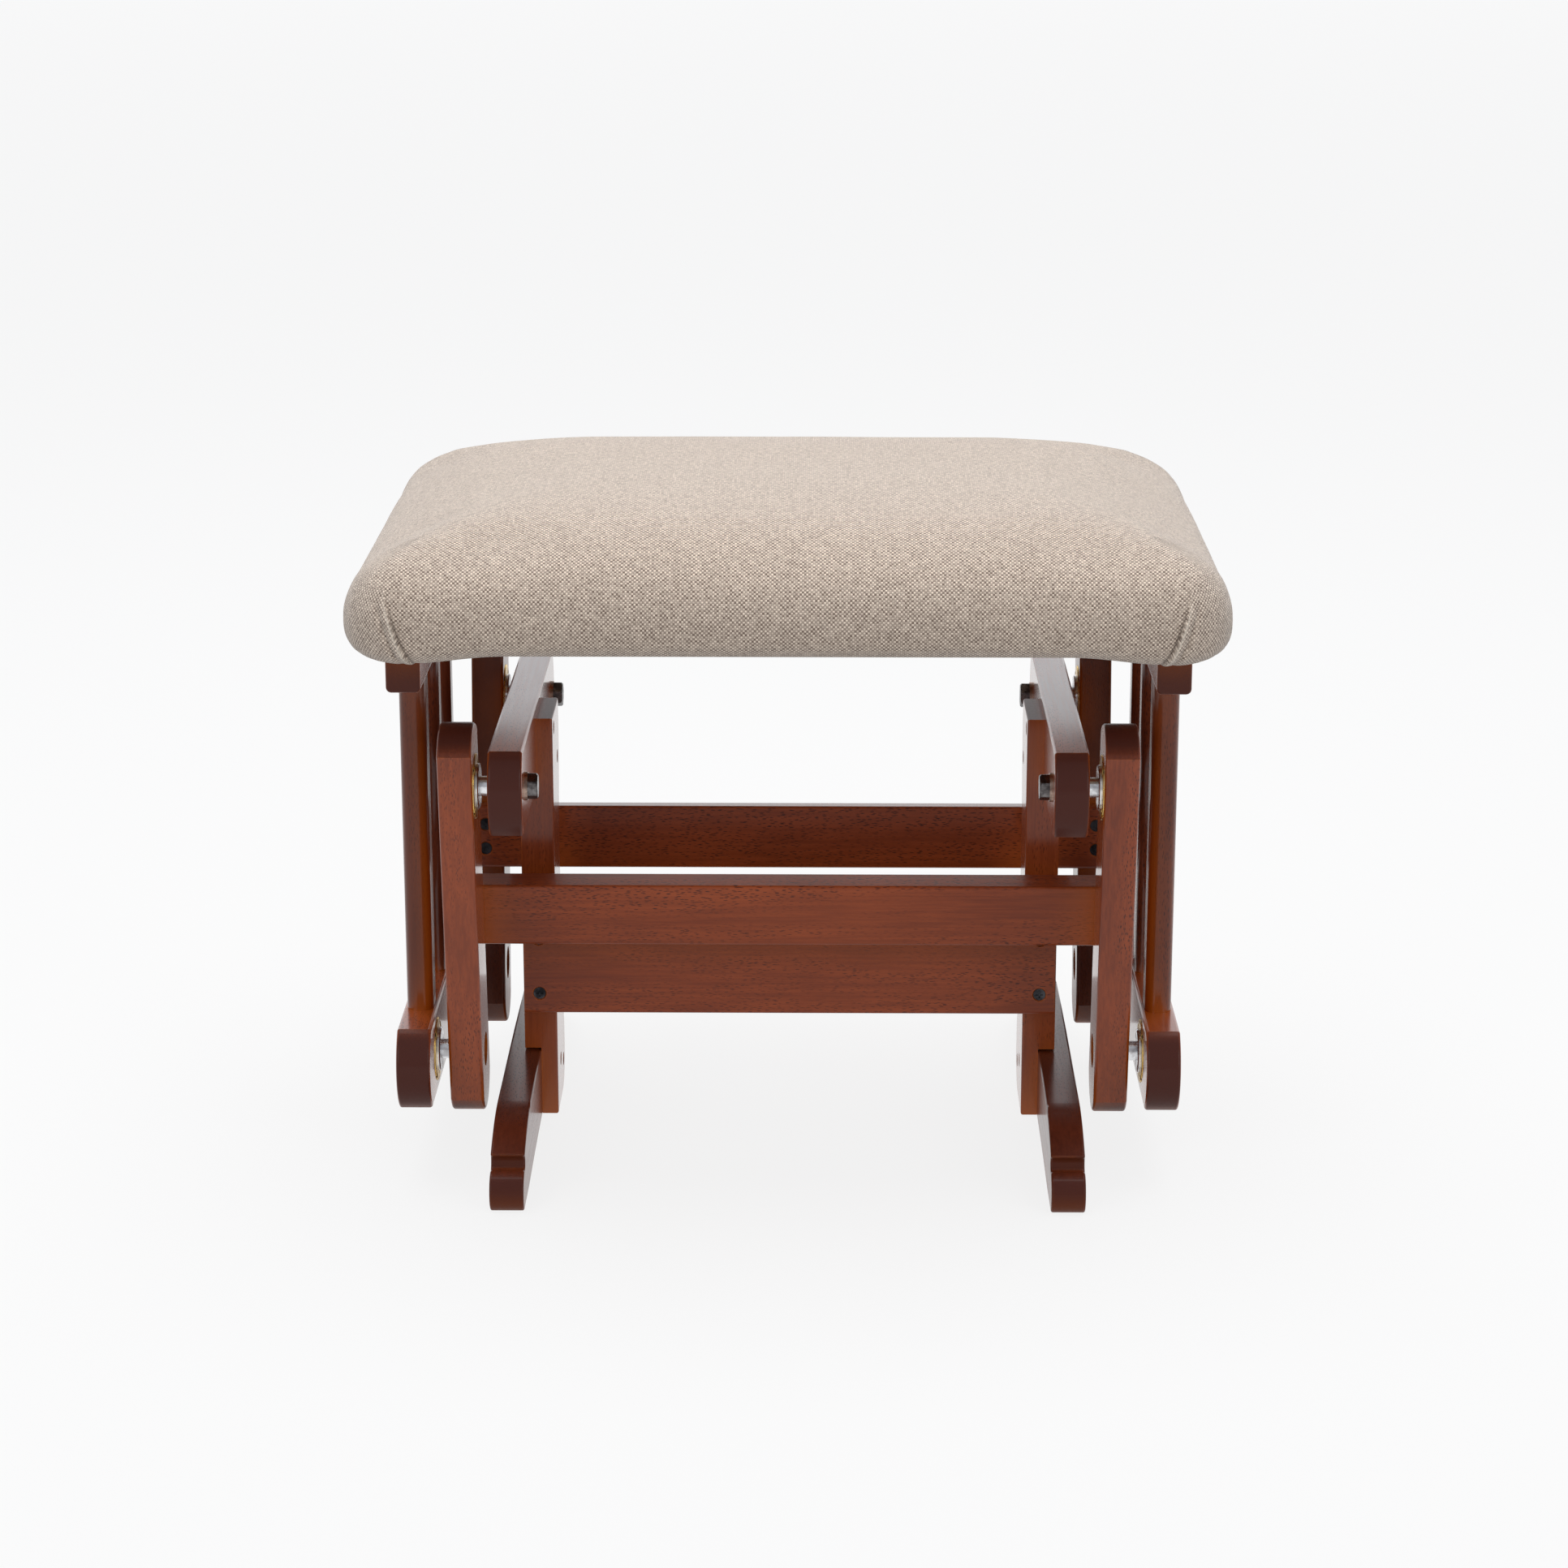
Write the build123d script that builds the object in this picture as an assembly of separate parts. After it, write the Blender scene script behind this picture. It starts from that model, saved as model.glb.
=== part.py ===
from build123d import *
import os
from math import atan2, cos, degrees, hypot, radians, sin

# A gliding footstool: a cushioned seat hangs from a fixed stand on four wooden arms.
# X runs across the stool, Y from front (-Y) to back, Z up, origin on the floor under its centre.
# "left" is the -X side and "right" the +X side.

# Driving dimensions, millimetres
board = 19.0                # thickness of every sawn board
arris = 1.8                 # rounding of the boards' long edges
pivot_gap = 8.3             # air gap between neighbouring boards at a pivot
rail_inner_x = 145.0        # inner face of the stand's top rails and feet

upper_pivot_y = 103.5       # upper pivots, front and back of the centre
upper_pivot_z = 226.5
lower_pivot_y = 78.5        # lower pivots, closer together than the upper ones
lower_pivot_z = 64.5

rail_crease_y = 119.5       # where a top rail's straight edge meets its rounded end
rail_half_height = 24.0
rail_bulge = 10.0

leg_front_y = -23.0
leg_waist_y = 22.0
leg_top_z = 244.0
leg_bottom_z = 4.8
leg_shoulder_z = 45.4

foot_length = 326.0         # along the floor
foot_nose = 5.0             # how far the toe's face swells in front of its lower edge
foot_height = 44.2
dome_half_length = 105.0    # gentle top of the foot, before it turns down
dome_fall = 1.6
cove_lip = (156.0, 29.0)    # (y, z) where the cove starts above the toe
cove_bottom = (152.3, 24.8)
toe_top = (158.0, 21.5)
arch_half_length = 128.0
arch_rise = 4.5

stretcher_half_length = 152.8
stretcher_low_z = 73.3
stretcher_height = 53.7
stretcher_screw_x = 144.0
stretcher_screw_low = 12.0  # above the stretcher's lower edge
stretcher_screw_pitch = 33.0

arm_half_width = 21.0
arm_top_overrun = 26.0      # straight edge above the upper pivot
arm_top_bulge = 10.0
arm_low_overrun = 22.0      # straight edge below the lower pivot
arm_low_bulge = 14.0

cross_board_thickness = 18.0
cross_board_height = 37.0
cross_board_half_length = 190.6
front_board_drop = 90.0     # centre of the board below the upper pivot, along the arm
rear_board_drop = 81.5
cross_screw_pitch = 14.5

lower_rail_crease_y = 112.0
lower_rail_half_height = 23.3
lower_rail_bulge = 12.0
upper_rail_half_length = 120.0
upper_rail_low_z = 283.0
seat_plane_z = 314.0        # top of the seat frame, underside of the cushion

slat_pitch = 69.0
slat_width = 15.0
slat_depth = 23.0
tenon_width = 9.0
tenon_depth = 15.0
tenon_length = 5.0
screw_pocket_radius = 4.5
screw_pocket_top = 12.0     # wood left above a deep screw pocket in an upper rail

batten_y = 84.0
batten_width = 40.0
batten_height = 14.0
batten_tenon = 8.0
rail_screw_ys = (-110.0, 34.0, 110.0)

cushion_width = 477.0
cushion_length = 350.0
cushion_height = 74.0
cushion_corner = 44.0
cushion_top_round = 26.0
cushion_bottom_round = 9.0
cover_thickness = 1.2
plywood = 12.0
plywood_margin = 13.0       # cushion edge to plywood edge

bolt_radius = 4.0
bolt_hole_radius = 4.1
bolt_head_across_flats = 13.0
bolt_head_height = 5.5
washer_radius = 8.0
washer_thickness = 1.6
nut_height = 4.0
sleeve_radius = 5.5
counterbore_radius = 9.75
counterbore_depth = 8.0

flange_radius = 18.0
flange_thickness = 1.6
flange_recess = 1.0
barrel_radius = 14.0
barrel_length = 9.0
bearing_radius = 12.6
bearing_proud = 2.4         # bearing face in front of the board's face
bearing_width = 9.0
running_clearance = 0.05
loose_clearance = 1.4       # at the back lower pivots, which take up the linkage's error
housing_depth = 12.0
flange_screw_circle = 15.9

screw_head_radius = 3.5
screw_shank_radius = 2.0
screw_recess = 0.5

# Derived places
rail_outer_x = rail_inner_x + board
arm_inner_x = rail_outer_x + pivot_gap
arm_outer_x = arm_inner_x + board
seat_inner_x = arm_outer_x + pivot_gap
seat_outer_x = seat_inner_x + board
seat_mid_x = seat_inner_x + board / 2
arm_mid_x = arm_inner_x + board / 2
leg_inner_x = rail_inner_x - board / 2
leg_outer_x = rail_inner_x + board / 2
arm_run_y = upper_pivot_y - lower_pivot_y
arm_run_z = upper_pivot_z - lower_pivot_z
arm_length = hypot(arm_run_y, arm_run_z)
arm_lean = degrees(atan2(arm_run_y, arm_run_z))
low = (Align.CENTER, Align.CENTER, Align.MIN)


def rod_x(radius, x0, x1, y, z):
    """Cylinder along X between x0 and x1."""
    return Pos(x0, y, z) * Rot(0, 90, 0) * Cylinder(radius, x1 - x0, align=low)


def hexagon_x(across_flats, x0, x1, y, z):
    """Hexagonal bar along X, with its outer corners turned off."""
    bar = extrude(RegularPolygon(across_flats / 2, 6, major_radius=False), x1 - x0)
    turned = Cylinder(across_flats * 0.56, x1 - x0, align=low)
    turned = chamfer(turned.edges().sort_by(Axis.Z)[0], 0.9)
    return Pos(x0, y, z) * Rot(0, 90, 0) * (bar & turned)


def other_side(solid):
    """The same piece on the opposite side of the stool."""
    return mirror(solid, Plane.YZ)


def slab(outline, x0, thickness):
    """Board cut to a side outline (y, z), its inner face at x0."""
    return extrude(Plane.YZ.offset(x0) * outline, thickness)


def strip_outline(low, high, half_width, low_bulge, high_bulge):
    """Straight-edged strip from low to high, whose two ends are shallow arcs."""
    with BuildSketch() as strip:
        with BuildLine():
            Line((low, half_width), (high, half_width))
            ThreePointArc((high, half_width), (high + high_bulge, 0), (high, -half_width))
            Line((high, -half_width), (low, -half_width))
            ThreePointArc((low, -half_width), (low - low_bulge, 0), (low, half_width))
        make_face()
    return strip.sketch


def round_end_outline(half_length, half_width, bulge):
    """Strip with the same rounding at both ends."""
    return strip_outline(-half_length, half_length, half_width, bulge, bulge)


def ease(solid, radius=arris):
    """Round the edges of a board's two broad faces."""
    broad = solid.faces().filter_by(Axis.X)
    return fillet(broad.edges(), radius)


def screw(length, head_radius=screw_head_radius, shank_radius=screw_shank_radius):
    """Countersunk cross-head screw, its head up at the origin and its shank down -Z."""
    cone_height = head_radius - shank_radius
    head = Pos(0, 0, -cone_height) * Cone(shank_radius, head_radius, cone_height, align=low)
    shank = Pos(0, 0, -length) * Cylinder(shank_radius, length - cone_height, align=low)
    slot = Box(head_radius * 1.15, head_radius * 0.26, 1.4)
    return (head + shank) - (slot + Rot(0, 0, 90) * slot)


def screw_hole(length, head_radius=screw_head_radius, shank_radius=screw_shank_radius):
    """The hole for such a screw: a touch wider at the head, which sits below the surface."""
    slack = 0.05
    cone_height = head_radius - shank_radius
    rim = head_radius + 0.5
    mouth = Pos(0, 0, -screw_recess) * Cylinder(rim, screw_recess + 1, align=low)
    cone = Pos(0, 0, -screw_recess - cone_height) * Cone(shank_radius + slack, rim, cone_height, align=low)
    shank = Pos(0, 0, -length - screw_recess - slack) * Cylinder(shank_radius + slack, length, align=low)
    return mouth + cone + shank


def drill(solid, places, length, **size):
    """Cut one screw hole at each place."""
    for place in places:
        solid = solid - place * screw_hole(length, **size)
    return solid


def screws(places, length, **size):
    """One screw at each place, sunk just below the surface."""
    return [place * Pos(0, 0, -screw_recess) * screw(length, **size) for place in places]


# The stand

LEG_SCREW = 24.0
STRETCHER_SCREW = 40.0


def leg_screw_places():
    """Screws through each lap of the right leg, heads on its inner face."""
    spots = [(-12, 236), (14, 212), (2, 30), (24, 22)]
    return [Pos(leg_inner_x, y, z) * Rot(0, -90, 0) for y, z in spots]


def stretcher_screw_places(front, side):
    """Two screws at one end of a stretcher, into the edge of a leg."""
    y = leg_front_y - board if front else leg_waist_y + board
    turn = 90 if front else -90
    heights = [stretcher_low_z + stretcher_screw_low + stretcher_screw_pitch * n for n in range(2)]
    return [Pos(side * stretcher_screw_x, y, z) * Rot(turn, 0, 0) for z in heights]


def base_rail():
    """Top rail of the stand, right side, carrying a pivot bolt at each end."""
    outline = Pos(0, upper_pivot_z) * round_end_outline(rail_crease_y, rail_half_height, rail_bulge)
    rail = ease(slab(outline, rail_inner_x, board))
    for y in (-upper_pivot_y, upper_pivot_y):
        rail = rail - rod_x(bolt_hole_radius, rail_inner_x - 1, rail_outer_x + 1, y, upper_pivot_z)
    return drill(rail, leg_screw_places(), LEG_SCREW)


def leg_outline():
    """Straight front edge; the back edge swells at the top and the foot."""
    with BuildSketch() as shape:
        with BuildLine():
            Line((leg_front_y, leg_bottom_z), (17, leg_bottom_z))
            ThreePointArc((17, leg_bottom_z), (31.5, 12.5), (36, 32))
            Spline([(36, 32), (30, 53), (leg_waist_y, 71)], tangents=[(0, 1), (0, 1)])
            Line((leg_waist_y, 71), (leg_waist_y, 176))
            Spline([(leg_waist_y, 176), (26.5, 206), (27.5, 228)], tangents=[(0, 1), (0, 1)])
            Line((27.5, 228), (26, leg_top_z))
            Line((26, leg_top_z), (leg_front_y, leg_top_z))
            Line((leg_front_y, leg_top_z), (leg_front_y, leg_bottom_z))
        make_face()
    return shape.sketch


def leg():
    """Right leg, half-lapped over the inner faces of the top rail and the foot."""
    post = slab(leg_outline(), leg_inner_x, board)
    depth = 100
    rail_low_z = upper_pivot_z - rail_half_height
    upper_lap = Pos(rail_inner_x, 0, rail_low_z) * Box(board, depth, 60, align=(Align.MIN, Align.CENTER, Align.MIN))
    lower_lap = Pos(rail_inner_x, 0, leg_shoulder_z) * Box(board, depth, 60, align=(Align.MIN, Align.CENTER, Align.MAX))
    post = post - upper_lap - lower_lap
    post = fillet(post.faces().sort_by(Axis.X)[0].edges(), 1.2)
    post = drill(post, leg_screw_places(), LEG_SCREW)
    for front in (True, False):
        post = drill(post, stretcher_screw_places(front, 1), STRETCHER_SCREW)
    return post


def foot_outline():
    """Low domed runner with a cove above each toe and a slight arch underneath."""
    heel = foot_length / 2
    shoulder = (dome_half_length, foot_height - dome_fall)
    with BuildSketch() as shape:
        with BuildLine():
            dome = ThreePointArc((-shoulder[0], shoulder[1]), (0, foot_height), shoulder)
            brow = TangentArc(dome @ 1, cove_lip, tangent=dome % 1)
            cove = ThreePointArc(cove_lip, cove_bottom, toe_top)
            toe = ThreePointArc(toe_top, (heel + foot_nose, toe_top[1] * 0.56), (heel, 0))
            pad = Line((heel, 0), (arch_half_length, 0))
            mirror([brow, cove, toe, pad], about=Plane.YZ)
            ThreePointArc((-arch_half_length, 0), (0, arch_rise), (arch_half_length, 0))
        make_face()
        cove_corners = [v for v in shape.vertices() if toe_top[1] - 1 < v.Y < cove_lip[1] + 1]
        fillet(cove_corners, 0.8)
    return shape.sketch


def foot():
    """Right foot runner."""
    runner = ease(slab(foot_outline(), rail_inner_x, board), 1.2)
    return drill(runner, leg_screw_places(), LEG_SCREW)


def stretcher(front):
    """Board across the legs, low down; the back one mirrors the front one."""
    y = leg_front_y - board if front else leg_waist_y
    plank = Pos(0, y, stretcher_low_z) * Box(
        2 * stretcher_half_length, board, stretcher_height, align=(Align.CENTER, Align.MIN, Align.MIN)
    )
    plank = fillet(plank.edges().filter_by(Axis.X), arris)
    for side in (-1, 1):
        plank = drill(plank, stretcher_screw_places(front, side), STRETCHER_SCREW)
    return plank


def stretcher_screws():
    """Eight screws, two at each end of each stretcher."""
    places = []
    for front in (True, False):
        for side in (-1, 1):
            places += stretcher_screw_places(front, side)
    return screws(places, STRETCHER_SCREW)


def leg_screws():
    """Four screws for each leg, two in each lap."""
    right = screws(leg_screw_places(), LEG_SCREW)
    return right + [other_side(s) for s in right]


# The pivots

def both_ends(make):
    """A pivot piece made for the front right corner, repeated at all four corners."""
    front_right = make()
    front_left = other_side(front_right)
    return [front_right, front_left] + [mirror(p, Plane.XZ) for p in (front_right, front_left)]


def both_sides(make):
    """A pivot piece made for the right side, repeated on the left."""
    right = make()
    return [right, other_side(right)]


def bolt(head_x, end_x, y, z):
    """Hexagon-head bolt along +X, its head's underside at head_x."""
    head = hexagon_x(bolt_head_across_flats, head_x - bolt_head_height, head_x, y, z)
    return head + rod_x(bolt_radius, head_x, end_x, y, z)


def ring_x(outer, inner, x0, x1, y, z):
    """Flat ring or tube along X."""
    return rod_x(outer, x0, x1, y, z) - rod_x(inner, x0 - 1, x1 + 1, y, z)


def upper_bolt():
    """Bolt through a top rail, with its head on the rail's inner face."""
    end_x = arm_inner_x - bearing_proud + bearing_width + 0.3 + nut_height
    return bolt(rail_inner_x - washer_thickness, end_x, -upper_pivot_y, upper_pivot_z)


def upper_washer():
    """Washer under an upper bolt's head."""
    x0 = rail_inner_x - washer_thickness
    return ring_x(washer_radius, bolt_hole_radius, x0, rail_inner_x, -upper_pivot_y, upper_pivot_z)


def upper_nut():
    """Thin nut that holds an upper bolt behind its bearing."""
    x0 = arm_inner_x - bearing_proud + bearing_width + 0.3
    block = hexagon_x(bolt_head_across_flats, x0, x0 + nut_height, -upper_pivot_y, upper_pivot_z)
    return block - rod_x(bolt_radius, x0 - 1, x0 + nut_height + 1, -upper_pivot_y, upper_pivot_z)


def upper_sleeve():
    """Spacer tube between rail and arm, on which the arm's bearing turns."""
    x1 = arm_inner_x - bearing_proud + bearing_width + 0.3
    return ring_x(sleeve_radius, bolt_hole_radius, rail_outer_x, x1, -upper_pivot_y, upper_pivot_z)


def lower_bolt():
    """Bolt from an arm's counterbore out into the seat's side rail, with its nut."""
    head_x = arm_inner_x + counterbore_depth
    nut_x = seat_inner_x - bearing_proud + bearing_width + 0.3
    return bolt(head_x, nut_x + nut_height, -lower_pivot_y, lower_pivot_z)


def lower_nut():
    """Thin nut behind a lower bearing."""
    x0 = seat_inner_x - bearing_proud + bearing_width + 0.3
    block = hexagon_x(bolt_head_across_flats, x0, x0 + nut_height, -lower_pivot_y, lower_pivot_z)
    return block - rod_x(bolt_radius, x0 - 1, x0 + nut_height + 1, -lower_pivot_y, lower_pivot_z)


def lower_sleeve():
    """Spacer tube between arm and seat rail."""
    x1 = seat_inner_x - bearing_proud + bearing_width + 0.3
    return ring_x(sleeve_radius, bolt_hole_radius, arm_outer_x, x1, -lower_pivot_y, lower_pivot_z)


def flange(face_x, y, z):
    """Plated steel flange with its barrel, let into a board's face at face_x."""
    x0 = face_x + flange_recess - flange_thickness
    plate = rod_x(flange_radius, x0, x0 + flange_thickness, y, z)
    plate = fillet(plate.edges().sort_by(Axis.X)[0], 0.5)
    barrel = rod_x(barrel_radius, x0, face_x + barrel_length, y, z)
    housing = plate + barrel - rod_x(bearing_radius, x0 - 1, face_x + barrel_length + 1, y, z)
    return drill(housing, flange_screw_places(face_x, y, z), 10.0, head_radius=1.9, shank_radius=1.0)


def flange_screw_places(face_x, y, z):
    """Four small screws on the flange's circle."""
    places = []
    for turn in (45, 135, 225, 315):
        across = flange_screw_circle * cos(radians(turn))
        up = flange_screw_circle * sin(radians(turn))
        places.append(Pos(face_x + flange_recess - flange_thickness, y + across, z + up) * Rot(0, -90, 0))
    return places


def flange_screws(face_x, y, z):
    """The flange's four small screws."""
    return screws(flange_screw_places(face_x, y, z), 10.0, head_radius=1.9, shank_radius=1.0)


def bearing(face_x, y, z, clearance):
    """Bearing ring that stands a little proud of its flange."""
    x0 = face_x - bearing_proud
    ring = rod_x(bearing_radius - 0.02, x0, x0 + bearing_width, y, z)
    ring = chamfer(ring.edges().sort_by(Axis.X)[0], 0.6)
    return ring - rod_x(sleeve_radius + clearance, x0 - 1, x0 + bearing_width + 1, y, z)


def bearing_pocket(face_x, y, z):
    """What a board loses to a flange, its barrel and screws, and the nut behind."""
    pocket = rod_x(flange_radius + 0.2, face_x - 1, face_x + flange_recess, y, z)
    pocket = pocket + rod_x(barrel_radius, face_x, face_x + barrel_length, y, z)
    pocket = pocket + rod_x(bearing_radius, face_x, face_x + housing_depth, y, z)
    for place in flange_screw_places(face_x, y, z):
        pocket = pocket + place * screw_hole(10.0, head_radius=1.9, shank_radius=1.0)
    return pocket


# The swinging arms

def along_arm(drop, across):
    """Point (y, z) of the front arm: distance below the upper pivot, and back from the centre line."""
    tilt = radians(arm_lean)
    y = -upper_pivot_y + drop * sin(tilt) + across * cos(tilt)
    z = upper_pivot_z - drop * cos(tilt) + across * sin(tilt)
    return y, z


def cross_screw_places(drop, side):
    """Two screws at one end of a cross board, heads on the face towards the stool's centre."""
    places = []
    for shift in (-cross_screw_pitch / 2, cross_screw_pitch / 2):
        y, z = along_arm(drop + shift, arm_half_width + cross_board_thickness)
        places.append(Pos(side * arm_mid_x, y, z) * Rot(arm_lean - 90, 0, 0))
    return places


CROSS_SCREW = 38.0


def arm(drop):
    """Right arm of the front pair, leaning back towards its lower end."""
    outline = strip_outline(
        -arm_length - arm_low_overrun, arm_top_overrun, arm_half_width, arm_low_bulge, arm_top_bulge
    )
    upper_pivot = (-upper_pivot_y, upper_pivot_z)
    piece = slab(Pos(*upper_pivot) * Rot(0, 0, 90 + arm_lean) * outline, arm_inner_x, board)
    piece = ease(piece)
    piece = piece - bearing_pocket(arm_inner_x, -upper_pivot_y, upper_pivot_z)
    piece = piece - rod_x(bolt_hole_radius, arm_inner_x - 1, arm_outer_x + 1, -lower_pivot_y, lower_pivot_z)
    bore_end = arm_inner_x + counterbore_depth
    piece = piece - rod_x(counterbore_radius, arm_inner_x - 1, bore_end, -lower_pivot_y, lower_pivot_z)
    return drill(piece, cross_screw_places(drop, 1), CROSS_SCREW)


def cross_board(drop):
    """Board that ties the two front arms together, on their back edges."""
    y, z = along_arm(drop, arm_half_width)
    tie = Box(
        2 * cross_board_half_length, cross_board_thickness, cross_board_height,
        align=(Align.CENTER, Align.MIN, Align.CENTER),
    )
    tie = fillet(tie.edges().filter_by(Axis.X), arris)
    tie = Pos(0, y, z) * Rot(arm_lean, 0, 0) * tie
    for side in (-1, 1):
        tie = drill(tie, cross_screw_places(drop, side), CROSS_SCREW)
    return tie


def cross_screws(drop):
    """Four screws, two at each end of a cross board."""
    return screws(cross_screw_places(drop, 1) + cross_screw_places(drop, -1), CROSS_SCREW)


# The seat

def lower_rail():
    """Right lower rail of the seat, holding the two lower bearings and three slats."""
    outline = Pos(0, lower_pivot_z) * round_end_outline(
        lower_rail_crease_y, lower_rail_half_height, lower_rail_bulge
    )
    rail = ease(slab(outline, seat_inner_x, board))
    for y in (-lower_pivot_y, lower_pivot_y):
        rail = rail - bearing_pocket(seat_inner_x, y, lower_pivot_z)
    return cut_mortises(rail, lower_pivot_z + lower_rail_half_height, Align.MAX)


def cut_mortises(rail, z, towards):
    """Three mortises in a side rail, from its edge at height z."""
    for n in (-1, 0, 1):
        rail = rail - Pos(seat_mid_x, n * slat_pitch, z) * Box(
            tenon_width, tenon_depth, tenon_length, align=(Align.CENTER, Align.CENTER, towards)
        )
    return rail


def upper_rail():
    """Right upper rail of the seat, under the cushion."""
    height = seat_plane_z - upper_rail_low_z
    rail = Pos(seat_mid_x, 0, upper_rail_low_z) * Box(board, 2 * upper_rail_half_length, height, align=low)
    rail = fillet(rail.edges().filter_by(Axis.Y).sort_by(Axis.Z)[:2], 3.0)
    rail = fillet(rail.edges().filter_by(Axis.Z), arris)
    rail = cut_mortises(rail, upper_rail_low_z, Align.MIN)
    for y in (-batten_y, batten_y):
        rail = rail - batten(y)
    for y in rail_screw_ys:
        depth = height - screw_pocket_top
        rail = rail - Pos(seat_mid_x, y, upper_rail_low_z) * Cylinder(screw_pocket_radius, depth, align=low)
    return drill(rail, rail_screw_places(1), SEAT_SCREW)


SEAT_SCREW = 22.0


def slat(n):
    """One right-hand side slat with its two tenons; n counts back from the front."""
    bottom = lower_pivot_z + lower_rail_half_height
    stile = Box(slat_width, slat_depth, upper_rail_low_z - bottom, align=low)
    stile = fillet(stile.edges().filter_by(Axis.Z), 6.5)
    span = upper_rail_low_z - bottom + 2 * tenon_length
    tenon = Pos(0, 0, -tenon_length) * Box(tenon_width, tenon_depth, span, align=low)
    return Pos(seat_mid_x, n * slat_pitch, bottom) * (stile + tenon)


def batten(y):
    """Flat batten across the seat, tenoned into both upper rails."""
    half = seat_inner_x + batten_tenon
    return Pos(0, y, seat_plane_z) * Box(
        2 * half, batten_width, batten_height, align=(Align.CENTER, Align.CENTER, Align.MAX)
    )


def batten_piece(y):
    """The batten with its screw holes."""
    return drill(batten(y), batten_screw_places(y), SEAT_SCREW)


def rail_screw_places(side):
    """Screws up through an upper rail into the cushion's plywood, from deep pockets."""
    sunk = seat_plane_z - screw_pocket_top
    return [Pos(side * seat_mid_x, y, sunk) * Rot(180, 0, 0) for y in rail_screw_ys]


def batten_screw_places(y):
    """Screws up through a batten into the plywood."""
    return [Pos(x, y, seat_plane_z - batten_height) * Rot(180, 0, 0) for x in (-120, 120)]


def seat_screw_places():
    """Every screw that holds the cushion down."""
    places = rail_screw_places(1) + rail_screw_places(-1)
    for y in (-batten_y, batten_y):
        places += batten_screw_places(y)
    return places


def cushion_block(inset):
    """Soft-cornered block, shrunk by inset on every side."""
    block = Pos(0, 0, seat_plane_z + inset) * Box(
        cushion_width - 2 * inset, cushion_length - 2 * inset, cushion_height - 2 * inset, align=low
    )
    block = fillet(block.edges().filter_by(Axis.Z), cushion_corner - inset)
    block = fillet(block.faces().sort_by(Axis.Z)[-1].edges(), cushion_top_round - inset)
    return fillet(block.faces().sort_by(Axis.Z)[0].edges(), cushion_bottom_round - inset)


def plywood_block():
    """Plywood panel inside the cushion."""
    panel = Pos(0, 0, seat_plane_z + cover_thickness) * Box(
        cushion_width - 2 * plywood_margin, cushion_length - 2 * plywood_margin, plywood, align=low
    )
    return fillet(panel.edges().filter_by(Axis.Z), cushion_corner - plywood_margin)


def seat_board():
    """The plywood with its screw holes."""
    return drill(plywood_block(), seat_screw_places(), SEAT_SCREW)


def cushion_foam():
    """Foam over the plywood and around its edge."""
    return cushion_block(cover_thickness) - plywood_block()


def cushion_cover():
    """Sewn fabric cover, all round the foam and turned under the plywood."""
    shell = cushion_block(0) - cushion_block(cover_thickness)
    return drill(shell, seat_screw_places(), SEAT_SCREW)


# Output: one file for each named piece

def save(name, solids):
    """Write one node: a single solid or a group of like ones."""
    shape = Compound(children=list(solids)) if isinstance(solids, (list, tuple)) else solids
    export_step(shape, os.path.join("parts", name + ".step"))


def save_pair(name, right):
    """Write a right-hand piece and its mirror image."""
    save(name + "_right", right)
    save(name + "_left", other_side(right))


def save_stand():
    """The fixed body."""
    save_pair("base_rail", base_rail())
    save_pair("leg", leg())
    save_pair("foot", foot())
    save("front_stretcher", stretcher(True))
    save("rear_stretcher", stretcher(False))
    save("stretcher_screws", stretcher_screws())
    save("leg_screws", leg_screws())
    save("upper_pivot_bolts", both_ends(upper_bolt))
    save("upper_pivot_washers", both_ends(upper_washer) + both_ends(upper_nut))
    save("upper_pivot_sleeves", both_ends(upper_sleeve))


def save_arm_pair(prefix, drop, place):
    """One swinging body: two arms, their cross board and their pivots."""
    upper = (arm_inner_x, -upper_pivot_y, upper_pivot_z)
    save_pair(prefix + "_arm", place(arm(drop)))
    save(prefix + "_cross_board", place(cross_board(drop)))
    save(prefix + "_cross_board_screws", [place(s) for s in cross_screws(drop)])
    save_pair(prefix + "_arm_flange", place(flange(*upper)))
    save_pair(prefix + "_arm_bearing", place(bearing(*upper, running_clearance)))
    small = [place(s) for s in flange_screws(*upper)]
    save(prefix + "_arm_flange_screws", small + [other_side(s) for s in small])
    bolts = both_sides(lower_bolt) + both_sides(lower_nut)
    save(prefix + "_lower_bolts", [place(b) for b in bolts])
    save(prefix + "_lower_sleeves", [place(s) for s in both_sides(lower_sleeve)])


def save_seat():
    """The gliding seat."""
    save_pair("seat_lower_rail", lower_rail())
    save_pair("seat_upper_rail", upper_rail())
    for n, label in ((-1, "front"), (0, "middle"), (1, "rear")):
        save_pair("slat_" + label, slat(n))
    save("front_batten", batten_piece(-batten_y))
    save("rear_batten", batten_piece(batten_y))
    save("seat_screws", screws(seat_screw_places(), SEAT_SCREW))
    save("seat_board", seat_board())
    save("cushion_foam", cushion_foam())
    save("cushion_cover", cushion_cover())
    small = []
    for end, y, clearance in (("front", -lower_pivot_y, running_clearance), ("rear", lower_pivot_y, loose_clearance)):
        spot = (seat_inner_x, y, lower_pivot_z)
        save_pair("seat_flange_" + end, flange(*spot))
        save_pair("seat_bearing_" + end, bearing(*spot, clearance))
        small += flange_screws(*spot)
    save("seat_flange_screws", small + [other_side(s) for s in small])


os.makedirs("parts", exist_ok=True)
save_stand()
save_arm_pair("front", front_board_drop, lambda piece: piece)
save_arm_pair("rear", rear_board_drop, lambda piece: mirror(piece, Plane.XZ))
save_seat()
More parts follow.
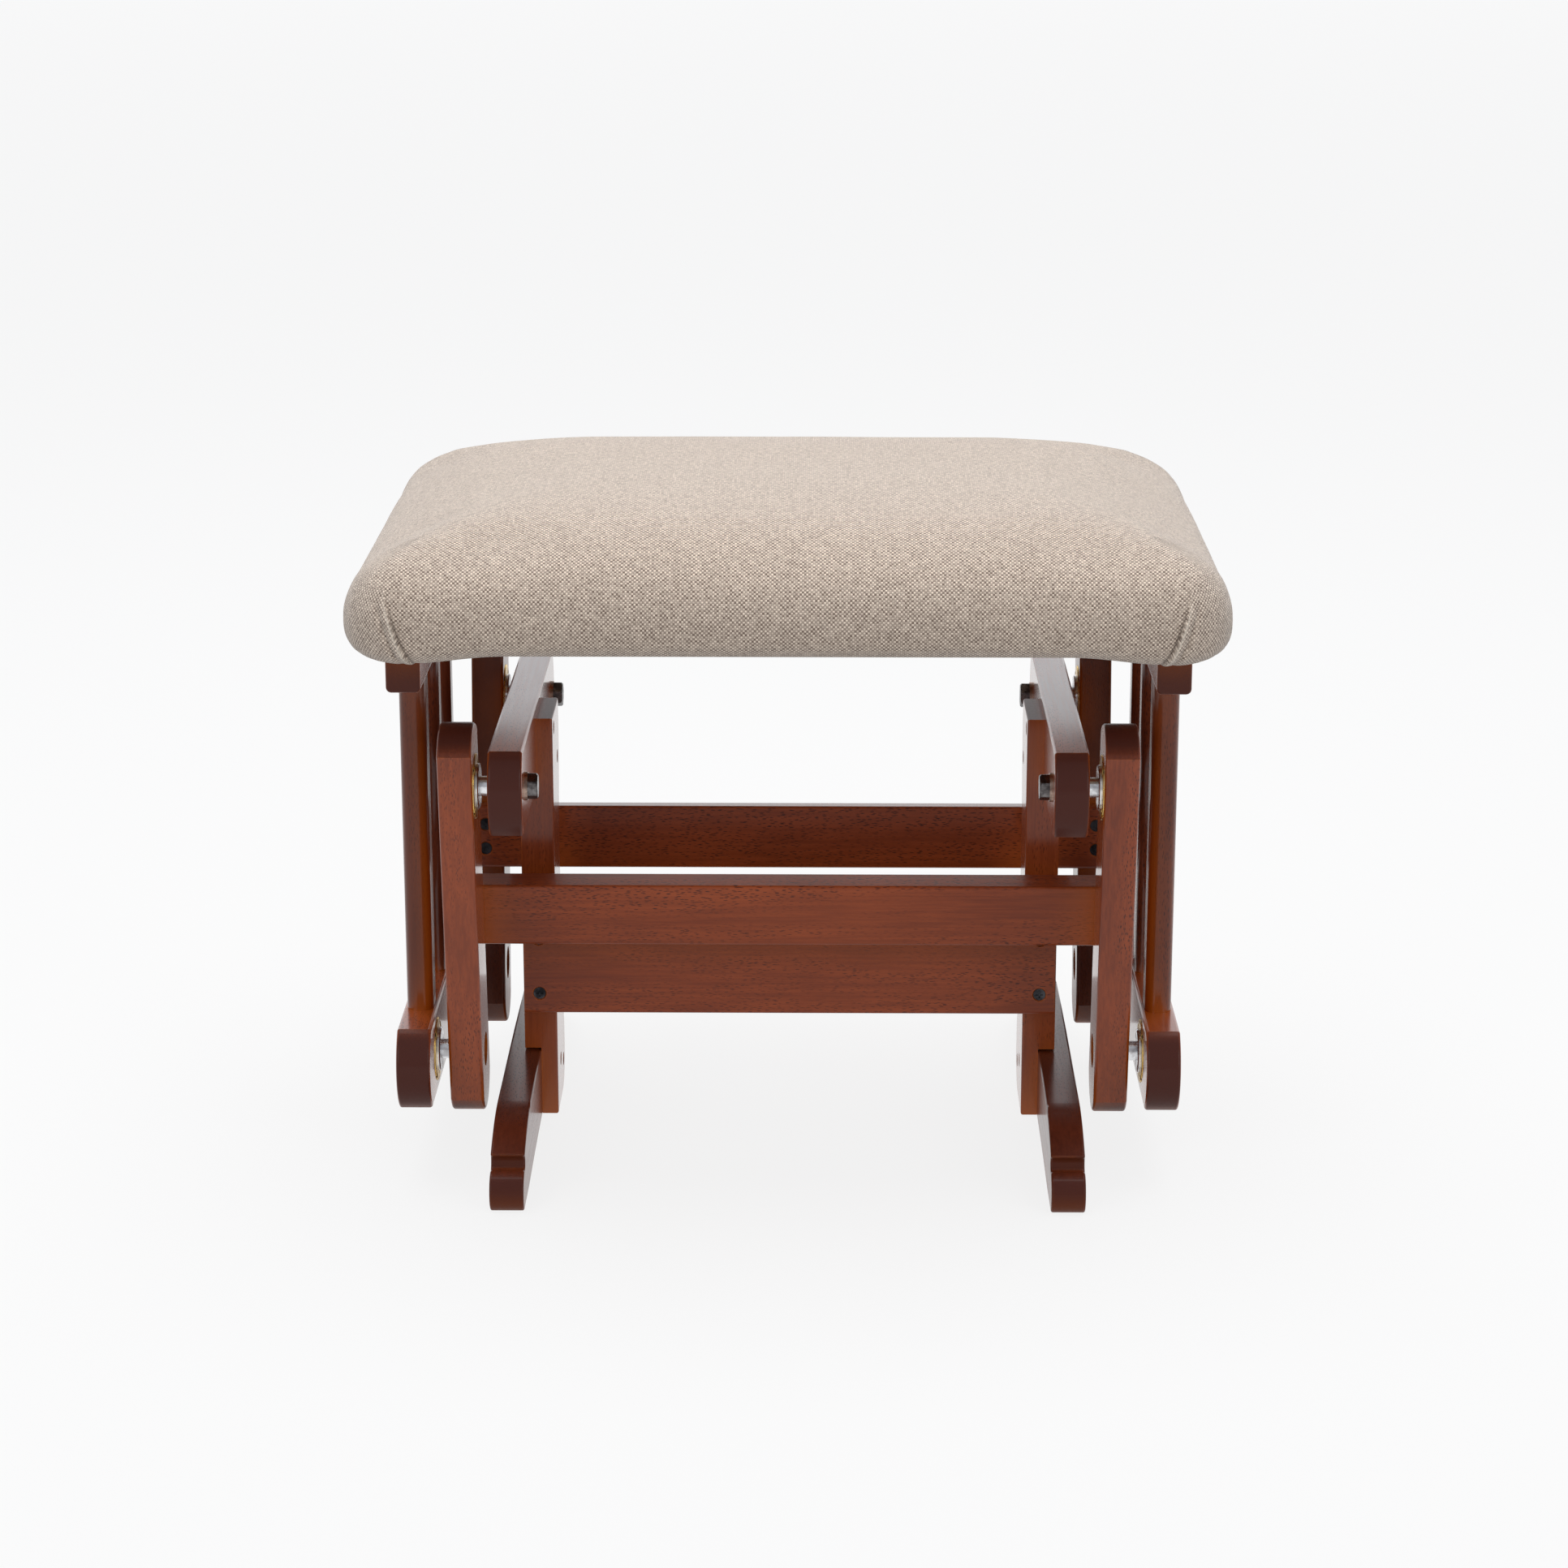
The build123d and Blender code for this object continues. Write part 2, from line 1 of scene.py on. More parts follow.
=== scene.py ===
# %% [markdown]
# # A gliding footstool
# The stool is a padded seat on slatted wooden sides. Four wooden arms hang it from a stand with two long
# feet, so that it swings to and fro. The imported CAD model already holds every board, bolt and bearing in
# its place. It comes in here as a fixed frame. This script adds what CAD can't: the stuffed cushion, its
# folded corners, the stapled cloth under it, and the finishes of wood, metal and cloth.

# %% Load the frame
import math

import bmesh
import bpy
import numpy as np
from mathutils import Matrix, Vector, noise
from mathutils.bvhtree import BVHTree


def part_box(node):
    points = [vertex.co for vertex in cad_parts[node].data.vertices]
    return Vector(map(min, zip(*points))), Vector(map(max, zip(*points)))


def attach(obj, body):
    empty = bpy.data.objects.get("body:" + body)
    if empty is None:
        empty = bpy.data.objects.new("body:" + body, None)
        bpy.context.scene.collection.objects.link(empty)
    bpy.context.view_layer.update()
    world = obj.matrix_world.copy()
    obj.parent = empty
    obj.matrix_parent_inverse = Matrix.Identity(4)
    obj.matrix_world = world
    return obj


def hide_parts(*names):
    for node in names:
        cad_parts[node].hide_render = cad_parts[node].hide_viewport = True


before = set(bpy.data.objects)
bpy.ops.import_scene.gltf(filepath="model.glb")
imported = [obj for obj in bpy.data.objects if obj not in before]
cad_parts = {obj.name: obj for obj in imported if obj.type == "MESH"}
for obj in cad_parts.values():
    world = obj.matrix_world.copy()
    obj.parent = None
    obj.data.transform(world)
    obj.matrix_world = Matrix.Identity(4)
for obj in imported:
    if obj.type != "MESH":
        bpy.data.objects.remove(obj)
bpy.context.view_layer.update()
mm = 0.001
scene = bpy.context.scene

# %% [markdown]
# ## Camera
# A long lens from two metres away keeps the boards nearly parallel. The camera looks a little down, and
# stands a thumb's width to the right of the stool's middle, so it shows the right side's inner faces
# slightly more narrowly than the left side's.

# %% Camera
camera_place = Vector((0.017, -2.096, 0.7806))
camera_down = math.radians(15.5)
camera_turn = math.radians(0.56)
camera_lens = 86.27

camera = bpy.data.objects.new("camera", bpy.data.cameras.new("camera"))
camera.data.lens = camera_lens
camera.data.sensor_width = 36.0
camera.location = camera_place
camera.rotation_euler = (math.pi / 2 - camera_down, 0.0, camera_turn)
scene.collection.objects.link(camera)
scene.camera = camera
print("camera looks down", round(math.degrees(camera_down), 1), "degrees")

# %% [markdown]
# ## Studio
# The stool stands on a plain pale sweep. Lacquered wood is mostly seen by what it mirrors: its top faces
# show the lamp above, and its inner faces, seen at a glancing angle, show the pale walls. So the lamps are
# large and soft, and the room round them is pale. The floor gives some light of its own, which keeps the
# shadow under the stool faint, but it throws less of it up at the stool than its paleness would. The room
# looks paler to the camera than to the stool, so that the floor runs into it without a line.

# %% Floor, walls and lamps
floor_half = 70.0
floor_mesh = bpy.data.meshes.new("floor")
floor_corners = [(-1, -1), (1, -1), (1, 1), (-1, 1)]
floor_points = [(x * floor_half, y * floor_half, 0.0) for x, y in floor_corners]
floor_mesh.from_pydata(floor_points, [], [(0, 1, 2, 3)])
floor = bpy.data.objects.new("floor", floor_mesh)
scene.collection.objects.link(floor)

floor_paint = bpy.data.materials.new("floor_paint")
floor_paint.use_nodes = True
floor_shader = floor_paint.node_tree.nodes["Principled BSDF"]
floor_shader.inputs["Base Color"].default_value = (0.10, 0.10, 0.10, 1)
floor_shader.inputs["Roughness"].default_value = 0.9
floor_shader.inputs["Specular IOR Level"].default_value = 0.1
floor_shader.inputs["Emission Color"].default_value = (1.0, 1.0, 1.0, 1)
floor_rays = floor_paint.node_tree.nodes.new("ShaderNodeLightPath")
floor_glow = floor_paint.node_tree.nodes.new("ShaderNodeMapRange")
floor_glow.inputs["To Min"].default_value = 0.83
floor_glow.inputs["To Max"].default_value = 0.36
floor_paint.node_tree.links.new(floor_rays.outputs["Is Diffuse Ray"], floor_glow.inputs["Value"])
floor_paint.node_tree.links.new(floor_glow.outputs["Result"], floor_shader.inputs["Emission Strength"])
floor_mesh.materials.append(floor_paint)

world = bpy.data.worlds.new("pale_room")
world.use_nodes = True
sky = world.node_tree.nodes["Background"]
sky_rays = world.node_tree.nodes.new("ShaderNodeLightPath")
sky_colour = world.node_tree.nodes.new("ShaderNodeMix")
sky_colour.data_type = "RGBA"
sky_colour.inputs[6].default_value = (0.485, 0.495, 0.52, 1)
sky_colour.inputs[7].default_value = (0.93, 0.93, 0.93, 1)
world.node_tree.links.new(sky_rays.outputs["Is Camera Ray"], sky_colour.inputs[0])
world.node_tree.links.new(sky_colour.outputs[2], sky.inputs["Color"])
scene.world = world
scene.view_settings.view_transform = "Standard"


def lamp(name, place, aim, width, height, watts):
    data = bpy.data.lights.new(name, "AREA")
    data.shape = "RECTANGLE"
    data.size, data.size_y = width, height
    data.energy = watts
    it = bpy.data.objects.new(name, data)
    it.location = place
    it.rotation_euler = (Vector(aim) - Vector(place)).to_track_quat("-Z", "Y").to_euler()
    it.visible_camera = False
    scene.collection.objects.link(it)
    return it


stool_middle = (0.0, 0.0, 0.2)
lamps = [
    lamp("lamp_above", (0.0, 0.3, 2.3), stool_middle, 2.4, 1.8, 44.0),
    lamp("lamp_front_left", (-1.7, -2.2, 1.2), stool_middle, 1.5, 1.5, 16.5),
    lamp("lamp_front_right", (1.9, -2.0, 1.0), stool_middle, 1.2, 1.4, 14.5),
    lamp("lamp_behind", (0.0, 14.0, 5.0), (0.0, 0.0, 1.6), 25.0, 9.0, 540.0),
]
print(len(lamps), "lamps")

# %% [markdown]
# ## Wood finish
# The boards are a pale hardwood, stained cherry red and lacquered. The stain sinks into the grain, so it is
# streaky along each board and dark in the pores, which are short scratches. It wears thin on the arrises.
# Where boards meet, orange bounce light from the red wood is painted into the colour. End grain drinks more
# stain and lacquer, so it is dark and duller.
#
# Three helpers are shared: one draws grain, one finds worn outer edges, one finds the inner corners where
# orange bounce light is painted. Each is a node group that gives only colours or masks, so the shader itself
# stays in the material.

# %% Node helpers


def new_group(name, inputs, outputs):
    """A shader node group whose sockets are (name, kind, value) and (name, kind)."""
    group = bpy.data.node_groups.new(name, "ShaderNodeTree")
    for title, kind, value in inputs:
        socket = group.interface.new_socket(title, in_out="INPUT", socket_type=kind)
        if value is not None:
            socket.default_value = value
    for title, kind in outputs:
        group.interface.new_socket(title, in_out="OUTPUT", socket_type=kind)
    return group, group.nodes.new("NodeGroupInput"), group.nodes.new("NodeGroupOutput")


def add(tree, kind, settings=None, **sockets):
    """Adds a node. Sockets take a value, or another node's output to link."""
    node = tree.nodes.new(kind)
    for key, value in (settings or {}).items():
        setattr(node, key, value)
    for key, value in sockets.items():
        place = int(key[1:]) if key[0] == "_" else key.replace("_", " ")
        if isinstance(value, bpy.types.NodeSocket):
            tree.links.new(value, node.inputs[place])
        else:
            node.inputs[place].default_value = value
    return node


def maths(tree, operation, a, b=0.0, c=0.0):
    return add(tree, "ShaderNodeMath", {"operation": operation}, _0=a, _1=b, _2=c).outputs[0]


def remap(tree, value, low, high, to_low=0.0, to_high=1.0):
    node = add(tree, "ShaderNodeMapRange", {"interpolation_type": "SMOOTHSTEP"}, Value=value)
    for title, amount in (("From Min", low), ("From Max", high), ("To Min", to_low), ("To Max", to_high)):
        node.inputs[title].default_value = amount
    return node.outputs["Result"]


def mix(tree, share, a, b, blend="MIX"):
    node = add(tree, "ShaderNodeMix", {"data_type": "RGBA", "blend_type": blend})
    for place, value in ((0, share), (6, a), (7, b)):
        if isinstance(value, bpy.types.NodeSocket):
            tree.links.new(value, node.inputs[place])
        else:
            node.inputs[place].default_value = value
    return node.outputs[2]


COLOUR, VALUE, VECTOR = "NodeSocketColor", "NodeSocketFloat", "NodeSocketVector"

# %% Grain group
grain, grain_in, grain_out = new_group(
    "grain",
    [
        ("Place", VECTOR, None),
        ("Light", COLOUR, (0.3, 0.07, 0.03, 1)),
        ("Dark", COLOUR, (0.1, 0.02, 0.012, 1)),
        ("Pore", COLOUR, (0.03, 0.006, 0.005, 1)),
        ("Pores", VALUE, 0.6),
    ],
    [("Color", COLOUR), ("Height", VALUE), ("Gloss", VALUE)],
)
# In here, the boards run along the first axis.
streak_place = add(grain, "ShaderNodeMapping", Vector=grain_in.outputs["Place"], Scale=(3.0, 30.0, 30.0))
streaks = add(grain, "ShaderNodeTexNoise", Vector=streak_place.outputs[0], Scale=1.0, Detail=6.0,
              Roughness=0.62, Distortion=0.5)
fine_place = add(grain, "ShaderNodeMapping", Vector=grain_in.outputs["Place"], Scale=(22.0, 520.0, 520.0))
fine = add(grain, "ShaderNodeTexNoise", Vector=fine_place.outputs[0], Scale=1.0, Detail=3.0, Roughness=0.6)
cloud = add(grain, "ShaderNodeTexNoise", Vector=grain_in.outputs["Place"], Scale=9.0, Detail=2.0,
            Roughness=0.5)
pore_place = add(grain, "ShaderNodeMapping", Vector=grain_in.outputs["Place"], Scale=(240.0, 1300.0, 1300.0))
pore_cells = add(grain, "ShaderNodeTexVoronoi", {"feature": "F1"}, Vector=pore_place.outputs[0], Scale=1.0,
                 Randomness=1.0)
pore_patches = remap(grain, streaks.outputs[0], 0.42, 0.58)
pore_shape = remap(grain, pore_cells.outputs["Distance"], 0.20, 0.40, 1.0, 0.0)
pore_mask = maths(grain, "MULTIPLY", pore_shape, pore_patches)
pore_mask = maths(grain, "MULTIPLY", pore_mask, grain_in.outputs["Pores"])
streak_share = remap(grain, streaks.outputs[0], 0.25, 0.78)
fine_share = remap(grain, fine.outputs[0], 0.3, 0.72)
stain_share = maths(grain, "MULTIPLY_ADD", fine_share, 0.3, maths(grain, "MULTIPLY", streak_share, 0.55))
stain_share = maths(grain, "MULTIPLY_ADD", remap(grain, cloud.outputs[0], 0.35, 0.7), 0.3, stain_share)
stain = mix(grain, stain_share, grain_in.outputs["Dark"], grain_in.outputs["Light"])
grain.links.new(mix(grain, pore_mask, stain, grain_in.outputs["Pore"]), grain_out.inputs["Color"])
height = maths(grain, "MULTIPLY_ADD", pore_mask, -1.0, maths(grain, "MULTIPLY", fine_share, 0.35))
grain.links.new(height, grain_out.inputs["Height"])
grain.links.new(maths(grain, "MULTIPLY_ADD", pore_mask, 0.5, maths(grain, "MULTIPLY", fine_share, 0.5)),
                grain_out.inputs["Gloss"])
print("grain group has", len(grain.nodes), "nodes")

# %% Edge and corner groups
edges, edges_in, edges_out = new_group(
    "worn_edges",
    [("Place", VECTOR, None), ("Width", VALUE, 1.5 * mm)],
    [("Mask", VALUE)],
)
rounded = add(edges, "ShaderNodeBevel", {"samples": 6}, Radius=edges_in.outputs["Width"])
flat = add(edges, "ShaderNodeNewGeometry")
same_way = add(edges, "ShaderNodeVectorMath", {"operation": "DOT_PRODUCT"}, _0=rounded.outputs[0],
               _1=flat.outputs["Normal"])
edge_line = remap(edges, same_way.outputs["Value"], 0.90, 0.995, 1.0, 0.0)
patchy = add(edges, "ShaderNodeTexNoise", Vector=edges_in.outputs["Place"], Scale=55.0, Detail=3.0,
             Roughness=0.6)
edges.links.new(maths(edges, "MULTIPLY", edge_line, remap(edges, patchy.outputs[0], 0.4, 0.62)),
                edges_out.inputs["Mask"])

# Painted bounce light: ambient occlusion finds the inner corners, where the wood is painted orange.
corners, corners_in, corners_out = new_group(
    "inner_corners",
    [("Reach", VALUE, 30 * mm)],
    [("Mask", VALUE)],
)
crowded = add(corners, "ShaderNodeAmbientOcclusion", {"samples": 6}, Distance=corners_in.outputs["Reach"])
corners.links.new(remap(corners, crowded.outputs["AO"], 0.30, 0.92, 1.0, 0.0), corners_out.inputs["Mask"])
print("edge and corner groups ready")

# %% [markdown]
# ## One wood for each run of the grain
# A board's grain follows its length, so rails and feet have it front to back, legs and slats upright, and
# cross boards from side to side. One function builds the material for each run, and a Mapping node turns
# the pattern. It reads Object coordinates, so every board cuts a different piece out of one solid block of
# figure, and no two look alike. The slats, feet and rear arms get darker copies of the wood with thinner
# lacquer: painted shade, for where they sit in shadow behind the front arms, under the seat and low down.

# %% Wood materials
cherry_light = (0.350, 0.073, 0.021, 1)
cherry_dark = (0.132, 0.023, 0.008, 1)
cherry_pore = (0.028, 0.006, 0.005, 1)
# Orange for painted bounce light in inner corners, and for stain worn thin on the arrises.
orange_for_bounce_and_wear = (0.46, 0.103, 0.005, 1)
end_stain = (0.062, 0.0135, 0.008, 1)


def wood(name, along, turn, light=cherry_light, dark=cherry_dark, lacquer=1.0, painted_bounce=0.76):
    made = bpy.data.materials.new(name)
    made.use_nodes = True
    tree = made.node_tree
    shader = tree.nodes["Principled BSDF"]
    where = add(tree, "ShaderNodeTexCoord")
    turned = add(tree, "ShaderNodeMapping", Vector=where.outputs["Object"], Rotation=turn,
                 Location=(0.3, 0.2, 0.1))
    figure = add(tree, "ShaderNodeGroup", {"node_tree": grain}, Place=turned.outputs[0], Light=light,
                 Dark=dark, Pore=cherry_pore, Pores=0.85)
    worn = add(tree, "ShaderNodeGroup", {"node_tree": edges}, Place=where.outputs["Object"], Width=1.6 * mm)
    corner_bounce_mask = add(tree, "ShaderNodeGroup", {"node_tree": corners}, Reach=34 * mm)
    facing = add(tree, "ShaderNodeVectorMath", {"operation": "DOT_PRODUCT"}, _0=where.outputs["Normal"],
                 _1=along)
    end_grain = remap(tree, maths(tree, "ABSOLUTE", facing.outputs["Value"]), 0.30, 0.80)
    colour = mix(tree, end_grain, figure.outputs["Color"], end_stain)
    # Painted bounce light: the inner corners are turned orange.
    colour = mix(tree, maths(tree, "MULTIPLY", corner_bounce_mask.outputs["Mask"], painted_bounce), colour, orange_for_bounce_and_wear)
    # Stain worn thin on the arrises shows the same orange.
    colour = mix(tree, maths(tree, "MULTIPLY", worn.outputs["Mask"], 0.55), colour, orange_for_bounce_and_wear)
    tree.links.new(colour, shader.inputs["Base Color"])
    rough = maths(tree, "MULTIPLY_ADD", figure.outputs["Gloss"], 0.16, 0.30)
    tree.links.new(maths(tree, "MULTIPLY_ADD", end_grain, 0.22, rough), shader.inputs["Roughness"])
    bump = add(tree, "ShaderNodeBump", Height=figure.outputs["Height"], Distance=0.10 * mm, Strength=0.55)
    tree.links.new(bump.outputs[0], shader.inputs["Normal"])
    shader.inputs["Specular IOR Level"].default_value = 0.12
    coat = maths(tree, "MULTIPLY_ADD", end_grain, -0.65 * lacquer, lacquer)
    tree.links.new(coat, shader.inputs["Coat Weight"])
    shader.inputs["Coat Roughness"].default_value = 0.15
    shader.inputs["Coat IOR"].default_value = 1.35
    return made


quarter = math.pi / 2
wood_side_to_side = wood("wood_side_to_side", (1, 0, 0), (0, 0, 0), lacquer=0.55)
wood_front_to_back = wood("wood_front_to_back", (0, 1, 0), (0, 0, quarter))
wood_upright = wood("wood_upright", (0, 0, 1), (0, quarter, 0))
# Painted shade: darker, less glossy copies of the wood for the slats, feet and rear arms, which stand in
# shadow.
slat_shaded_light, slat_shaded_dark = (0.175, 0.038, 0.013, 1), (0.072, 0.0135, 0.006, 1)
wood_slats_shaded = wood("wood_slats_shaded", (0, 0, 1), (0, quarter, 0), slat_shaded_light, slat_shaded_dark, 0.85)
foot_shaded_light, foot_shaded_dark = (0.130, 0.026, 0.010, 1), (0.055, 0.0105, 0.005, 1)
wood_feet_shaded = wood("wood_feet_shaded", (0, 1, 0), (0, 0, quarter), foot_shaded_light, foot_shaded_dark, 0.50, 0.15)
rear_arm_shaded_light, rear_arm_shaded_dark = (0.085, 0.016, 0.007, 1), (0.040, 0.008, 0.005, 1)
wood_rear_arms_shaded = wood("wood_rear_arms_shaded", (0, 0, 1), (0, quarter, 0), rear_arm_shaded_light, rear_arm_shaded_dark, 0.6)
print("woods:", [m.name for m in bpy.data.materials if m.name.startswith("wood")])

# %% [markdown]
# ## Metals
# The hardware is bought in. Screws are black oxide over steel, the bolts and washers are a dark, slightly
# coppery plating, the flanges are yellow zinc, which shimmers from gold to green, and the bearings
# and sleeves are bright steel with a turned face. Dust and thumb marks dull all of them a little.

# %% Marks group and metal materials
marks, marks_in, marks_out = new_group(
    "handling_marks",
    [("Place", VECTOR, None), ("Fineness", VALUE, 160.0), ("Clean", COLOUR, (0.5, 0.5, 0.5, 1)),
     ("Dull", COLOUR, (0.3, 0.3, 0.3, 1)), ("Smooth", VALUE, 0.2), ("Rough", VALUE, 0.45)],
    [("Color", COLOUR), ("Roughness", VALUE), ("Height", VALUE)],
)
smear = add(marks, "ShaderNodeTexNoise", Vector=marks_in.outputs["Place"], Scale=marks_in.outputs["Fineness"],
            Detail=4.0, Roughness=0.6)
speck = add(marks, "ShaderNodeTexNoise", Vector=marks_in.outputs["Place"], Scale=1400.0, Detail=2.0)
smear_share = remap(marks, smear.outputs[0], 0.36, 0.66)
marks.links.new(mix(marks, smear_share, marks_in.outputs["Clean"], marks_in.outputs["Dull"]),
                marks_out.inputs["Color"])
rough_span = maths(marks, "SUBTRACT", marks_in.outputs["Rough"], marks_in.outputs["Smooth"])
marks.links.new(maths(marks, "MULTIPLY_ADD", smear_share, rough_span, marks_in.outputs["Smooth"]),
                marks_out.inputs["Roughness"])
marks.links.new(speck.outputs[0], marks_out.inputs["Height"])


def metal(name, clean, dull, smooth, rough, grit=0.02):
    made = bpy.data.materials.new(name)
    made.use_nodes = True
    tree = made.node_tree
    shader = tree.nodes["Principled BSDF"]
    where = add(tree, "ShaderNodeTexCoord")
    used = add(tree, "ShaderNodeGroup", {"node_tree": marks}, Place=where.outputs["Object"], Clean=clean,
               Dull=dull, Smooth=smooth, Rough=rough)
    tree.links.new(used.outputs["Color"], shader.inputs["Base Color"])
    tree.links.new(used.outputs["Roughness"], shader.inputs["Roughness"])
    bump = add(tree, "ShaderNodeBump", Height=used.outputs["Height"], Distance=grit * mm, Strength=0.6)
    tree.links.new(bump.outputs[0], shader.inputs["Normal"])
    shader.inputs["Metallic"].default_value = 1.0
    return made


black_steel = metal("black_oxide_steel", (0.060, 0.060, 0.066, 1), (0.018, 0.018, 0.020, 1), 0.30, 0.55)
bolt_steel = metal("dark_plated_bolt", (0.20, 0.19, 0.19, 1), (0.055, 0.05, 0.05, 1), 0.22, 0.42)
washer_steel = metal("coppery_washer", (0.52, 0.40, 0.33, 1), (0.22, 0.15, 0.12, 1), 0.24, 0.42)
yellow_zinc = metal("yellow_zinc", (0.86, 0.58, 0.16, 1), (0.62, 0.46, 0.20, 1), 0.22, 0.40)
bright_steel = metal("bright_steel", (0.80, 0.81, 0.83, 1), (0.58, 0.59, 0.61, 1), 0.16, 0.34)
print("metals ready")

# %% Plywood material
plywood = bpy.data.materials.new("birch_plywood")
plywood.use_nodes = True
ply_tree = plywood.node_tree
ply_shader = ply_tree.nodes["Principled BSDF"]
ply_where = add(ply_tree, "ShaderNodeTexCoord")
ply_figure = add(ply_tree, "ShaderNodeGroup", {"node_tree": grain}, Place=ply_where.outputs["Object"],
                 Light=(0.62, 0.43, 0.25, 1), Dark=(0.48, 0.31, 0.17, 1), Pore=(0.30, 0.18, 0.09, 1),
                 Pores=0.5)
ply_layers = add(ply_tree, "ShaderNodeSeparateXYZ", _0=ply_where.outputs["Object"])
ply_pitch = 2.4 * mm
ply_phase = maths(ply_tree, "MULTIPLY", ply_layers.outputs["Z"], 2 * math.pi / ply_pitch)
ply_wave = maths(ply_tree, "SINE", ply_phase)
ply_edge = add(ply_tree, "ShaderNodeSeparateXYZ", _0=ply_where.outputs["Normal"])
ply_side = maths(ply_tree, "SUBTRACT", 1.0, maths(ply_tree, "ABSOLUTE", ply_edge.outputs["Z"]))
ply_band = maths(ply_tree, "MULTIPLY", ply_side, remap(ply_tree, ply_wave, -0.2, 0.2, 0.0, 0.6))
ply_tree.links.new(mix(ply_tree, ply_band, ply_figure.outputs["Color"], (0.25, 0.14, 0.07, 1)),
                   ply_shader.inputs["Base Color"])
ply_shader.inputs["Roughness"].default_value = 0.68
ply_bump = add(ply_tree, "ShaderNodeBump", Height=ply_figure.outputs["Height"], Distance=0.15 * mm,
               Strength=0.6)
ply_tree.links.new(ply_bump.outputs[0], ply_shader.inputs["Normal"])
print("plywood layers are", round(ply_pitch / mm, 1), "mm apart")

# %% Finish every CAD piece
along_x = ("front_stretcher", "rear_stretcher", "front_cross_board", "rear_cross_board", "front_batten",
           "rear_batten")
along_y = ("base_rail", "seat_lower_rail", "seat_upper_rail")
along_z = ("leg", "front_arm")


def finish_for(name):
    base = name.removesuffix("_left").removesuffix("_right")
    if base in along_x:
        return wood_side_to_side
    if base in along_y:
        return wood_front_to_back
    if base in along_z:
        return wood_upright
    if base.startswith("slat"):
        return wood_slats_shaded
    if base == "foot":
        return wood_feet_shaded
    if base == "rear_arm":
        return wood_rear_arms_shaded
    if "bolts" in base:
        return bolt_steel
    if "washers" in base:
        return washer_steel
    if "screws" in base:
        return black_steel
    if "flange" in base:
        return yellow_zinc
    if "bearing" in base or "sleeves" in base:
        return bright_steel
    return plywood


counted = {}
for name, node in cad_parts.items():
    finish = finish_for(name)
    node.data.materials.clear()
    node.data.materials.append(finish)
    counted[finish.name] = counted.get(finish.name, 0) + 1
print("finishes:", counted)

# %% [markdown]
# ## Cushion
# A foam block sits on plywood, under a woven cover that is pulled down over it and stapled below. Pulled
# cloth rounds every edge of the foam: the top is crowned, the sides lean out to a fat lower rim, and the
# rim turns under. A box with a bevel has none of that. So a rough loaf is made from rings, rebuilt as an
# even net, and blown up by Blender's cloth solver with the underside held, as staples hold it. How far it
# may swell is capped, and the result is fitted to the CAD cushion's box.

# %% Loaf of rings
cushion_low, cushion_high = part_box("cushion_cover")
half_wide = (cushion_high.x - cushion_low.x) / 2
half_deep = (cushion_high.y - cushion_low.y) / 2
rest_z = cushion_low.z
crown_z = cushion_high.z
loaf_corner = 44 * mm
# (how far in from the widest outline, height above the rest plane), from the underside to the crown
loaf_profile = [(26, 0.0), (14, 0.0), (6.5, 1.4), (2.2, 5.5), (0.0, 13.0), (0.6, 21.0), (3.0, 31.0),
                (7.5, 40.5), (14.5, 49.0), (25.0, 56.5), (40.0, 62.8), (62.0, 68.0), (92.0, 71.8),
                (130.0, 73.6)]


def ring_point(turn, inset):
    """A point on the cushion's outline drawn in by inset, at a share of one turn round it."""
    r = max(loaf_corner - inset, 6 * mm)
    w, d = half_wide - inset - r, half_deep - inset - r
    straight_w, straight_d, arc = 2 * w, 2 * d, math.pi / 2 * r
    far = (turn % 1.0) * (2 * straight_w + 2 * straight_d + 4 * arc)
    legs = [straight_w, arc, straight_d, arc, straight_w, arc, straight_d, arc]
    starts = [(-w, -d - r), (w, -d), (w + r, -d), (w, d), (w, d + r), (-w, d), (-w - r, d), (-w, -d)]
    heading = 0.0
    for index, leg in enumerate(legs):
        if far <= leg or index == 7:
            x, y = starts[index]
            if index % 2 == 0:
                return (x + math.cos(heading) * far, y + math.sin(heading) * far)
            angle = heading - math.pi / 2 + far / r
            return (x + math.cos(angle) * r, y + math.sin(angle) * r)
        far -= leg
        if index % 2 == 1:
            heading += math.pi / 2
    return (0.0, 0.0)


def mesh_object(name, points, faces):
    mesh = bpy.data.meshes.new(name)
    mesh.from_pydata(points, [], faces)
    made = bpy.data.objects.new(name, mesh)
    scene.collection.objects.link(made)
    return made


def rings_object(name, rings):
    """Closes a stack of equal rings into one solid, with a fan at each end."""
    around = len(rings[0])
    points = [p for ring in rings for p in ring]
    faces = []
    for r in range(len(rings) - 1):
        for i in range(around):
            j = (i + 1) % around
            faces.append((r * around + i, r * around + j, (r + 1) * around + j, (r + 1) * around + i))
    for ring, start, flip in ((rings[0], 0, True), (rings[-1], (len(rings) - 1) * around, False)):
        points.append(tuple(sum(p[k] for p in ring) / around for k in range(3)))
        middle = len(points) - 1
        for i in range(around):
            pair = (start + i, start + (i + 1) % around)
            faces.append((pair[1], pair[0], middle) if flip else (pair[0], pair[1], middle))
    return mesh_object(name, points, faces)


# The loaf starts a little small, in mm, and leaves room for the cloth to swell.
shrink = 2.5
loaf_height = 74.0
loaf_around = 192
loaf_rings = []
for inset, height_up in loaf_profile:
    up = height_up * (1 - shrink / loaf_height) * mm
    ring = [ring_point(i / loaf_around, (inset + shrink) * mm) for i in range(loaf_around)]
    loaf_rings.append([(x, y, rest_z + up) for x, y in ring])
cushion = rings_object("cushion", loaf_rings)
print("loaf:", len(cushion.data.vertices), "points")

# %% Even net and cloth


